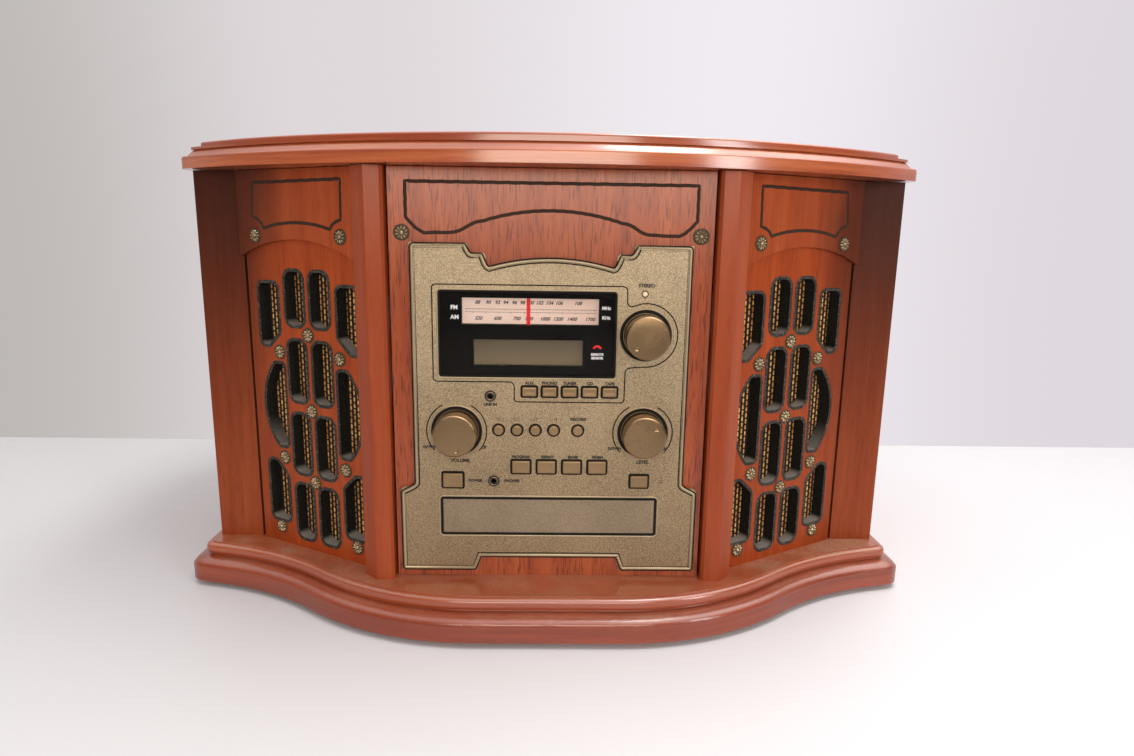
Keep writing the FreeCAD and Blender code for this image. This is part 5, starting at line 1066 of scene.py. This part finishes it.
def buttonBox(x, z, width, height):
    return (x - width / 2, z - height / 2, x + width / 2, z + height / 2)


gaps = [frameRun(buttonBox(*place), 0.1, 0.9)
        for place in controls["function"] + controls["mode"] + [controls["power"], controls["eject"]]]
gaps += [(ringPoints(x, z + ledgeTop, 3.8), True) for x, z in controls["transport"]]
gaps.append(frameRun(controls["door"], 1.05, 0.8))
gaps.append(frameRun(controls["window"], 0.2, 1.6))
# painted shade in the gaps round the buttons, the door and the window
dress(moved(lineWork("button_gaps", gaps, 1.7, 0.16), y=panelFace), "grooveShade")
frames = [frameRun(controls["doorFrame"], 0.0, 3.0), frameRun(controls["window"], 1.3, 2.6)]
dress(moved(lineWork("panel_frames", frames, 1.1, 0.35, 3), y=panelFace), "panelRim")
rings = [(ringPoints(x, z + ledgeTop, 17.9), True) for x, z, _ in controls["knobs"].values()]
dress(moved(lineWork("knob_wells", rings, 0.9, 0.3, 3), y=panelFace), "panelRim")
rings = [(ringPoints(x, z + ledgeTop, 16.4), True) for x, z, _ in controls["knobs"].values()]
dress(moved(lineWork("knob_shadow_gaps", rings, 2.2, 0.12), y=panelFace), "grooveShade")
rings = [(ringPoints(x, z + ledgeTop, 2.65, steps=28), True) for x, z in controls["jacks"]]
dress(moved(lineWork("jack_rings", rings, 0.6, 0.2, 3), y=panelFace - 0.8), "knob")
lamp = turned("signal_lamp", ((1.7, 0.0), (1.7, 0.4), (1.5, 0.9), (0.9, 1.25), (0.3, 1.35)),
              (62.5, panelFace + 0.2, 203.1 + ledgeTop), (90, 0, 0), 24)
dress(smooth(lamp, 60), "lamp")
# painted shade in the gap round the lamp
lampRing = lineWork("lamp_ring", [(ringPoints(62.5, 203.1 + ledgeTop, 2.1, steps=24), True)], 0.6, 0.25)
dress(moved(lampRing, y=panelFace), "grooveShade")
print("panel lines")


# Display: black mask with two openings, numbers, words

display = {"maskY": (-150.25, -149.45), "card": (-60.3, 181.0, 32.4, 199.0),
           "screen": (-52.5, 152.8, 21.8, 171.0), "cardY": -144.0}
left, low, right, high = controls["window"]
mask = block("display_mask", (left + 0.3, display["maskY"][0], low + ledgeTop + 0.3),
             (right - 0.3, display["maskY"][1], high + ledgeTop - 0.3))
for left, low, right, high in (display["card"], display["screen"]):
    cutAway(mask, block("opening", (left, -155, low + ledgeTop), (right, -145, high + ledgeTop)))
dress(mask, "mask")


def wordsOn(name, words, y, finish, shear=0.0, bold=0.0):
    # Each word is (text, x, z, height, side it is aligned to)
    made = []
    for text, x, z, size, align in words:
        clearSelection()
        bpy.ops.object.text_add(location=(x * mm, y * mm, (z + ledgeTop) * mm),
                                rotation=(math.radians(90), 0, 0))
        word = bpy.context.active_object
        word.data.body = text
        word.data.size = size * 1.38 * mm
        word.data.align_x = align
        word.data.align_y = "CENTER"
        word.data.extrude = 0.05 * mm
        word.data.offset = bold * mm
        word.data.shear = shear
        word.data.resolution_u = 3
        bpy.ops.object.convert(target="MESH")
        made.append(settle(bpy.context.active_object))
    return dress(joined(name, made), finish)


def dialX(pixel):
    # Place on the card of a point that was read off the photograph across the card
    share = (400 + pixel / 5.227 - 460.5) / (600.9 - 460.5)
    return display["card"][0] + share * (display["card"][2] - display["card"][0])


fmMarks = zip((88, 90, 92, 94, 96, 98, 100, 102, 104, 106, 108),
              (398, 455, 505, 548, 595, 638, 680, 730, 783, 835, 937))
amMarks = zip((530, 600, 700, 800, 1000, 1200, 1400, 1700), (403, 505, 608, 675, 760, 830, 905, 1003))
numbers = [(str(number), dialX(pixel), 195.4, 2.45, "CENTER") for number, pixel in fmMarks]
numbers += [(str(number), dialX(pixel), 184.6, 2.45, "CENTER") for number, pixel in amMarks]
wordsOn("dial_numbers", numbers, display["cardY"] - 0.06, "ink", 0.3, 0.09)
left, low, right, high = display["card"]
scale = []
for z in (191.0, 188.9):
    scale.append(([(left + 2.0, z + ledgeTop), (right - 1.5, z + ledgeTop)], False))
for i in range(41):
    x = left + 3.0 + (right - left - 6.0) * i / 40
    reach = 1.1 if i % 4 == 0 else 0.5
    scale.append(([(x, 190.0 + ledgeTop), (x, 190.0 + reach + ledgeTop)], False))
    if i % 4 == 2:
        scale.append(([(x, 188.9 + ledgeTop), (x, 187.9 + ledgeTop)], False))
dress(moved(lineWork("dial_scale", scale, 0.28, 0.06, 1), y=display["cardY"]), "ink")
wordsOn("display_words", [
    ("FM", -64.9, 192.4, 2.8, "CENTER"), ("AM", -64.6, 185.9, 2.8, "CENTER"),
    ("MHz", 37.1, 193.0, 2.2, "CENTER"), ("KHz", 37.1, 186.5, 2.2, "CENTER"),
    ("REMOTE", 31.6, 161.5, 1.6, "CENTER"), ("SENSOR", 31.6, 159.0, 1.6, "CENTER"),
], display["maskY"][0] - 0.06, "whiteInkGlow", bold=0.14)
sensor = lineWork("sensor_arch", [(ringPoints(31.5, 164.6 + ledgeTop, 2.6, 20, 160, 12), False)],
                  1.4, 0.25)
dress(moved(sensor, y=display["maskY"][0]), "red")
print("display")


# Words beside the controls

wordsOn("control_words", [
    ("STEREO", 63.5, 208.6, 2.3, "CENTER"), ("LINE IN", -40.8, 126.6, 2.0, "CENTER"),
    ("AUX", -14.2, 141.7, 2.1, "CENTER"), ("PHONO", -0.6, 141.7, 2.1, "CENTER"),
    ("TUNER", 13.2, 141.7, 2.1, "CENTER"), ("CD", 26.9, 141.7, 2.1, "CENTER"),
    ("TAPE", 40.5, 141.7, 2.1, "CENTER"), ("RECORD", 19.6, 116.6, 2.0, "CENTER"),
    ("PROGRAM", -20.0, 89.4, 1.9, "CENTER"), ("REPEAT", -1.4, 89.4, 1.9, "CENTER"),
    ("ERASE", 16.1, 89.4, 1.9, "CENTER"), ("FINISH", 33.4, 89.4, 1.9, "CENTER"),
    ("DOWN", -82.4, 96.0, 2.0, "CENTER"), ("UP", -45.4, 96.0, 2.0, "CENTER"),
    ("DOWN", 45.0, 96.0, 2.0, "CENTER"), ("UP", 79.6, 96.0, 2.0, "CENTER"),
    ("VOLUME", -62.0, 86.4, 2.4, "CENTER"), ("LEVEL", 64.8, 86.4, 2.4, "CENTER"),
    ("POWER", -51.4, 71.9, 2.0, "CENTER"), ("PHONES", -26.0, 71.9, 2.0, "CENTER"),
], panelFace - 0.06, "label", bold=0.17)


def icon(points, x, z=116.4):
    return ([(x + a, z + b + ledgeTop) for a, b in points], True)


arrow = ((-1.1, -1.1), (0.9, 0.0), (-1.1, 1.1))
back = ((1.1, -1.1), (-0.9, 0.0), (1.1, 1.1))
icons = [icon(back, -36.2), icon(back, -34.0), icon(arrow, -23.6), icon(arrow, -21.4),
         icon(((-1, -1), (1, -1), (1, 1), (-1, 1)), -10.0), icon(arrow, 1.4),
         ([(3.4, 115.4 + ledgeTop), (3.4, 117.4 + ledgeTop)], False),
         ([(4.4, 115.4 + ledgeTop), (4.4, 117.4 + ledgeTop)], False),
         icon(((-1.6, -1.0), (1.6, -1.0), (0.0, 1.6)), 78.1, 74.0),
         ([(76.4, 71.6 + ledgeTop), (79.8, 71.6 + ledgeTop)], False)]
dress(moved(lineWork("control_signs", icons, 0.45, 0.1, 1), y=panelFace), "label")
print("words")


# Knobs: turned, with a finger dimple in the face

knob = {
    "rings": ((3.0, 0.0), (3.0, 12.0), (14.1, 12.1), (14.75, 12.8), (14.75, 27.4), (14.35, 28.6),
              (13.6, 29.15), (11.0, 29.35), (6.0, 29.5)),
    "back": -138.5, "dimpleAt": 10.2, "dimpleRadius": 3.4, "dimpleDepth": 0.55,
}
for label, (x, z, turn) in controls["knobs"].items():
    piece = turned(f"{label}_knob_turned", knob["rings"], (x, knob["back"], z + ledgeTop),
                   (90, 0, 0), 72)
    angle = math.radians(turn)
    clearSelection()
    bpy.ops.mesh.primitive_uv_sphere_add(
        segments=32, ring_count=24, radius=knob["dimpleRadius"] * mm,
        location=((x + knob["dimpleAt"] * math.cos(angle)) * mm,
                  (-168.0 - knob["dimpleRadius"] + knob["dimpleDepth"]) * mm,
                  (z + ledgeTop + knob["dimpleAt"] * math.sin(angle)) * mm))
    cutAway(piece, settle(named("dimple_tool")))
    dress(smooth(piece, 25), "knob", f"{label}_knob", f"{label}_knob")
print("knobs")


# Buttons: caps with a shallow dish, on their flanges

button = {"front": -154.8, "flangeFront": -149.6, "back": -142.2, "edge": 0.55, "dish": 0.3, "slim": 0.45}


def buttonPiece(name, x, z, width, height):
    width, height = width - 2 * button["slim"], height - 2 * button["slim"]
    low = (x - width / 2, button["front"], z + ledgeTop - height / 2)
    high = (x + width / 2, button["back"], z + ledgeTop + height / 2)
    piece = block(name, low, high)
    only(piece)
    bpy.ops.object.mode_set(mode="EDIT")
    bpy.ops.mesh.select_all(action="DESELECT")
    bpy.ops.mesh.select_mode(type="FACE")
    bpy.ops.object.mode_set(mode="OBJECT")
    for face in piece.data.polygons:
        face.select = face.normal.y < -0.9
    bpy.ops.object.mode_set(mode="EDIT")
    bpy.ops.mesh.inset(thickness=1.1 * mm, depth=0.0)
    bpy.ops.mesh.inset(thickness=0.9 * mm, depth=-button["dish"] * mm)
    bpy.ops.object.mode_set(mode="OBJECT")
    rounded(piece, button["edge"], 3, 40)
    flange = block(name + "_flange", (low[0] - 0.9, button["flangeFront"], low[2] - 0.9),
                   (high[0] + 0.9, button["back"] - 2.0, high[2] + 0.9), 0.2, 1)
    return smooth(joined(name, [piece, flange]), 30)


places = {f"function_button_{i + 1}": place for i, place in enumerate(controls["function"])}
places.update({f"mode_button_{i + 1}": place for i, place in enumerate(controls["mode"])})
places.update({"power_button": controls["power"], "eject_button": controls["eject"]})
for node, place in places.items():
    dress(buttonPiece(f"{node}_cap", *place), "button", node, node)
roundCap = ((4.5, 0.0), (4.5, 5.0), (3.45, 5.1), (3.45, 11.7), (3.1, 12.4), (2.3, 12.6), (1.2, 12.45))
for i, (x, z) in enumerate(controls["transport"], 1):
    piece = turned(f"transport_button_{i}_cap", roundCap, (x, button["back"], z + ledgeTop),
                   (90, 0, 0), 40)
    node = f"transport_button_{i}"
    dress(smooth(piece, 40), "button", node, node)
print("buttons", len(places) + len(controls["transport"]))


# Turntable: ribbed mat, and a dressed tonearm

mat = {"at": (-50.0, 28.0), "low": 287.5, "radius": 138.0, "hole": 8.3, "thick": 2.3, "ribs": 11}


def matRings():
    rings = [(mat["radius"], mat["low"]), (mat["radius"], mat["low"] + mat["thick"] - 0.4),
             (mat["radius"] - 0.6, mat["low"] + mat["thick"])]
    low = mat["low"] + mat["thick"] - 0.9
    high = mat["low"] + mat["thick"]
    for i in range(mat["ribs"]):
        outer = mat["radius"] - 8 - i * 8.0
        rings += [(outer, high), (outer - 0.5, low), (outer - 3.0, low), (outer - 3.5, high)]
    rings += [(48.0, high), (47.0, low), (mat["hole"] + 0.6, low + 0.4)]
    return rings


ribbed = turned("ribbed_mat", matRings(), (*mat["at"], 0), sides=96)
drill = turned("mat_drill", ((mat["hole"], 280.0), (mat["hole"], 300.0)), (*mat["at"], 0), sides=48)
cutAway(ribbed, drill)
dress(smooth(ribbed, 30), "mat", "platter", "platter_mat")

arm = {"x": 118.0, "pivotY": 118.0, "z": 299.0, "headY": -85.0}


def makeTonearm():
    x, y, z = arm["x"], arm["pivotY"], arm["z"]
    tube = turned("arm_tube", ((2.6, 0.0), (3.0, 0.8), (3.0, 178.0), (3.6, 178.4), (3.6, 186.0),
                               (3.0, 186.4), (3.0, 216.0), (2.2, 217.0)),
                  (x, y + 16.0, z), (90, 0, 0), 32)
    rings = [(6.0, 0.0), (11.6, 0.3), (12.5, 1.2)]
    for i in range(7):
        height = 2.4 + i * 1.9
        rings += [(12.5, height), (12.0, height + 0.35), (12.0, height + 0.9), (12.5, height + 1.25)]
    rings += [(12.5, 17.4), (11.8, 18.6), (6.6, 19.0), (6.0, 24.0), (5.2, 25.0)]
    weight = turned("arm_weight", rings, (x, 168.0, z), (90, 0, 0), 56)
    middle = block("arm_middle", (x - 7, y - 9, z - 7), (x + 7, y + 9, z + 7), 1.6, 3)
    shell = block("arm_shell", (x - 8.5, arm["headY"] - 9.5, z - 3.0),
                  (x + 8.5, arm["headY"] + 20.0, z + 0.2), 1.2, 3)
    lift = turned("finger_lift", ((0.9, 0.0), (0.9, 7.4), (0.7, 8.6)),
                  (x + 3.4, arm["headY"] + 2, z - 1), (0, 90, 0), 16)
    return joined("tonearm_parts", [tube, weight, middle, shell, lift])


def makeCartridge():
    x, y, z = arm["x"], arm["headY"], arm["z"]
    body = block("cartridge_body", (x - 5.5, y - 8.0, z - 7.4), (x + 5.5, y + 7.0, z - 2.9), 0.8, 2)
    stylus = turned("stylus", ((1.1, 0.0), (0.8, 0.7), (0.12, 1.3)), (x, y - 5.0, z - 7.3),
                    (180, 0, 0), 12)
    return joined("cartridge", [body, stylus])


dress(smooth(makeTonearm(), 30), "satin", "tonearm", "tonearm")
dress(smooth(makeCartridge(), 30), "blackPlastic", "tonearm")
print("turntable")


# Wood screws that hold the back panel
screws = {
    "head": ((0.6, -0.6), (3.0, 0.1), (3.2, 0.5), (2.7, 1.1), (1.4, 1.5)), "slot": (3.6, 0.55, 0.7),
    "y": 185.5, "across": (-243.0, -81.0, 81.0, 243.0), "up": (38.5, 175.0, 280.0),
}
head = turned("screw_pattern", screws["head"], (0, 0, 0), sides=24)
long, wide, deep = screws["slot"]
for reach, width in ((long, wide), (wide, long)):
    cutAway(head, block("driver_slot", (-reach / 2, -width / 2, 1.5 - deep), (reach / 2, width / 2, 2)))
head.rotation_euler = (math.radians(-90), 0, 0)
smooth(settle(head), 30)
pieces = []
for i, x in enumerate(screws["across"]):
    for z in screws["up"]:
        if abs(x) > 200 or z < 50:
            piece = copied(head)
            piece.rotation_euler = (0, math.radians(23 * len(pieces)), 0)
            pieces.append(moved(settle(piece), x, screws["y"], z))
only(head)
bpy.ops.object.delete()
dress(joined("back_screws", pieces), "steel")
print("screws", len(pieces))


# Finishes of the CAD parts that stay in sight

nodeFinishes = {
    "front_board": "board", "corner_posts": "post", "outer_strips": "strip",
    "side_panel_left": "side", "side_panel_right": "side", "wing_headers": "header",
    "wing_grille_left": "wingLeft", "wing_grille_right": "wingRight", "base_moulding": "moulding",
    "floor_board": "ledge", "lid": "lid", "wood_rails": "rawWood", "back_panel": "hardboard",
    "rubber_feet": "rubber", "control_panel": "panel", "display_window": "glass",
    "dial_card": "card", "lcd_module": "screen", "dial_pointer": "red", "jack_sockets": "blackPlastic",
    "control_board": "circuit", "disc_drive": "steel", "disc_tray": "door",
    "power_transformer": "steel", "speaker_left": "speaker", "speaker_right": "speaker",
    "deck_plate": "deck", "platter": "alloy", "drive_motor": "steel", "motor_pulley": "brass",
    "drive_belt": "rubber", "arm_base": "blackPlastic", "cue_lever": "chrome",
    "arm_yoke": "satin", "tonearm": "satin", "body_fittings": "brass", "lid_fittings": "brass",
    "stay_arm": "brass",
}
for node, finish in nodeFinishes.items():
    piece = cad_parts[node]
    piece.data.materials.clear()
    piece.data.materials.append(finishes[finish])
print("nodes", len(nodeFinishes))


# Table, background, lamps and camera

studio = {
    "tableColour": (0.85, 0.835, 0.845), "tableBack": 0.300, "tableSide": 3.0, "tableFront": -3.0,
    "wall": ((-0.62, (0.51, 0.48, 0.46)), (-0.28, (0.74, 0.69, 0.71)), (0.24, (0.88, 0.84, 0.885)),
             (0.60, (0.74, 0.69, 0.735))),
    "room": (0.16, 0.145, 0.135), "fill": (0.98, 0.97, 1.0), "fillStrength": 0.50,
    "above": ((-0.35, (1.5, 1.38, 1.36)), (0.45, (4.2, 3.9, 3.85))),
    "camera": (0.000985, -0.64112, 0.27446), "turn": (78.776, -0.870, -1.037), "lens": 23.25,
}
clearSelection()
bpy.ops.mesh.primitive_plane_add(size=1)
table = named("table")
table.scale = (studio["tableSide"] * 2, studio["tableBack"] - studio["tableFront"], 1)
table.location = (0, (studio["tableBack"] + studio["tableFront"]) / 2, 0)
settle(table)
material, tree, shader, place, normal = newMaterial("tableTop", Specular_IOR_Level=0.3)
# painted shade: the table top is darker towards the left, lighter to the right
across = ramp(tree, parts(tree, place)[0], -0.7, 0.5)
tone = blendColour(tree, across, (0.70, 0.685, 0.685), studio["tableColour"])
glossy = tree.nodes.new("ShaderNodeLightPath").outputs["Is Glossy Ray"]
# in reflections the table ends a little in front of the cabinet
beyond = sums(tree, "MULTIPLY", ramp(tree, parts(tree, place)[1], -0.2, -0.85, 0.4, 1.0), glossy)
feed(tree, shader["Base Color"], blendColour(tree, beyond, tone, studio["room"]))
feed(tree, shader["Roughness"], ramp(tree, noise(tree, place, 8), 0.3, 0.7, 0.45, 0.55))
table.data.materials.append(material)

world = bpy.data.worlds.new("studio")
bpy.context.scene.world = world
world.use_nodes = True
tree = world.node_tree
tree.nodes.clear()
direction = tree.nodes.new("ShaderNodeTexCoord").outputs["Generated"]
x, y, z = parts(tree, direction)
wall = None
for (start, before), (end, after) in zip(studio["wall"], studio["wall"][1:]):
    wall = blendColour(tree, ramp(tree, x, start, end), wall or before, after)
rays = tree.nodes.new("ShaderNodeLightPath").outputs
seen = sums(tree, "MAXIMUM", rays["Is Camera Ray"],
            sums(tree, "MAXIMUM", rays["Is Glossy Ray"], rays["Is Transmission Ray"]))
# reflections show the darker room on the viewer's side
behindViewer = sums(tree, "MULTIPLY", ramp(tree, y, 0.3, -0.25), rays["Is Glossy Ray"])
surround = blendColour(tree, behindViewer, wall, studio["room"])
# and a bright ceiling, brighter to the right
(start, before), (end, after) = studio["above"]
ceiling = blendColour(tree, ramp(tree, x, start, end), before, after)
overhead = sums(tree, "MULTIPLY", ramp(tree, z, 0.45, 0.85), rays["Is Glossy Ray"])
shown = put(tree, "ShaderNodeBackground",
            {"Color": blendColour(tree, overhead, surround, ceiling), "Strength": 1.0})
lighting = put(tree, "ShaderNodeBackground", {"Color": studio["fill"],
                                              "Strength": studio["fillStrength"]})
mixed = put(tree, "ShaderNodeMixShader", {0: seen, 1: lighting.outputs[0], 2: shown.outputs[0]})
output = tree.nodes.new("ShaderNodeOutputWorld")
tree.links.new(mixed.outputs[0], output.inputs[0])

lamps = {
    "overhead": {"at": (0.0, -0.42, 1.5), "aim": (0.0, -0.1, 0.2), "size": (1.4, 1.2), "power": 6.5,
                 "shine": False},
    "ceiling": {"at": (0.42, -0.08, 1.6), "aim": (0.1, -0.05, 0.2), "size": (1.0, 0.4), "power": 11},
    "front": {"at": (0.03, -1.65, 0.54), "aim": (0, 0.0, 0.27), "size": (1.1, 0.46), "power": 8.5,
              "colour": (1.0, 0.87, 0.74)},
    "right": {"at": (1.35, -1.45, 0.6), "aim": (0, 0.0, 0.25), "size": (0.35, 0.8), "power": 7},
    "left": {"at": (-1.6, -0.5, 0.7), "aim": (0, 0.0, 0.15), "size": (0.4, 1.0), "power": 2.5,
             "shine": False},
}
for label, setting in lamps.items():
    clearSelection()
    bpy.ops.object.light_add(type="AREA", location=setting["at"])
    lamp = bpy.context.active_object
    lamp.name = f"lamp_{label}"
    lamp.data.shape = "RECTANGLE"
    lamp.data.size, lamp.data.size_y = setting["size"]
    lamp.data.energy = setting["power"]
    lamp.data.color = setting.get("colour", (1, 1, 1))
    lamp.visible_glossy = setting.get("shine", True)
    aim = Vector(setting["aim"]) - Vector(setting["at"])
    lamp.rotation_euler = aim.to_track_quat("-Z", "Y").to_euler()

bpy.ops.object.camera_add(location=studio["camera"],
                          rotation=[math.radians(angle) for angle in studio["turn"]])
camera = bpy.context.active_object
camera.data.sensor_width = 36
camera.data.lens = studio["lens"]
camera.data.clip_start = 0.01
bpy.context.scene.camera = camera
bpy.context.scene.view_settings.view_transform = "Standard"
print("studio")
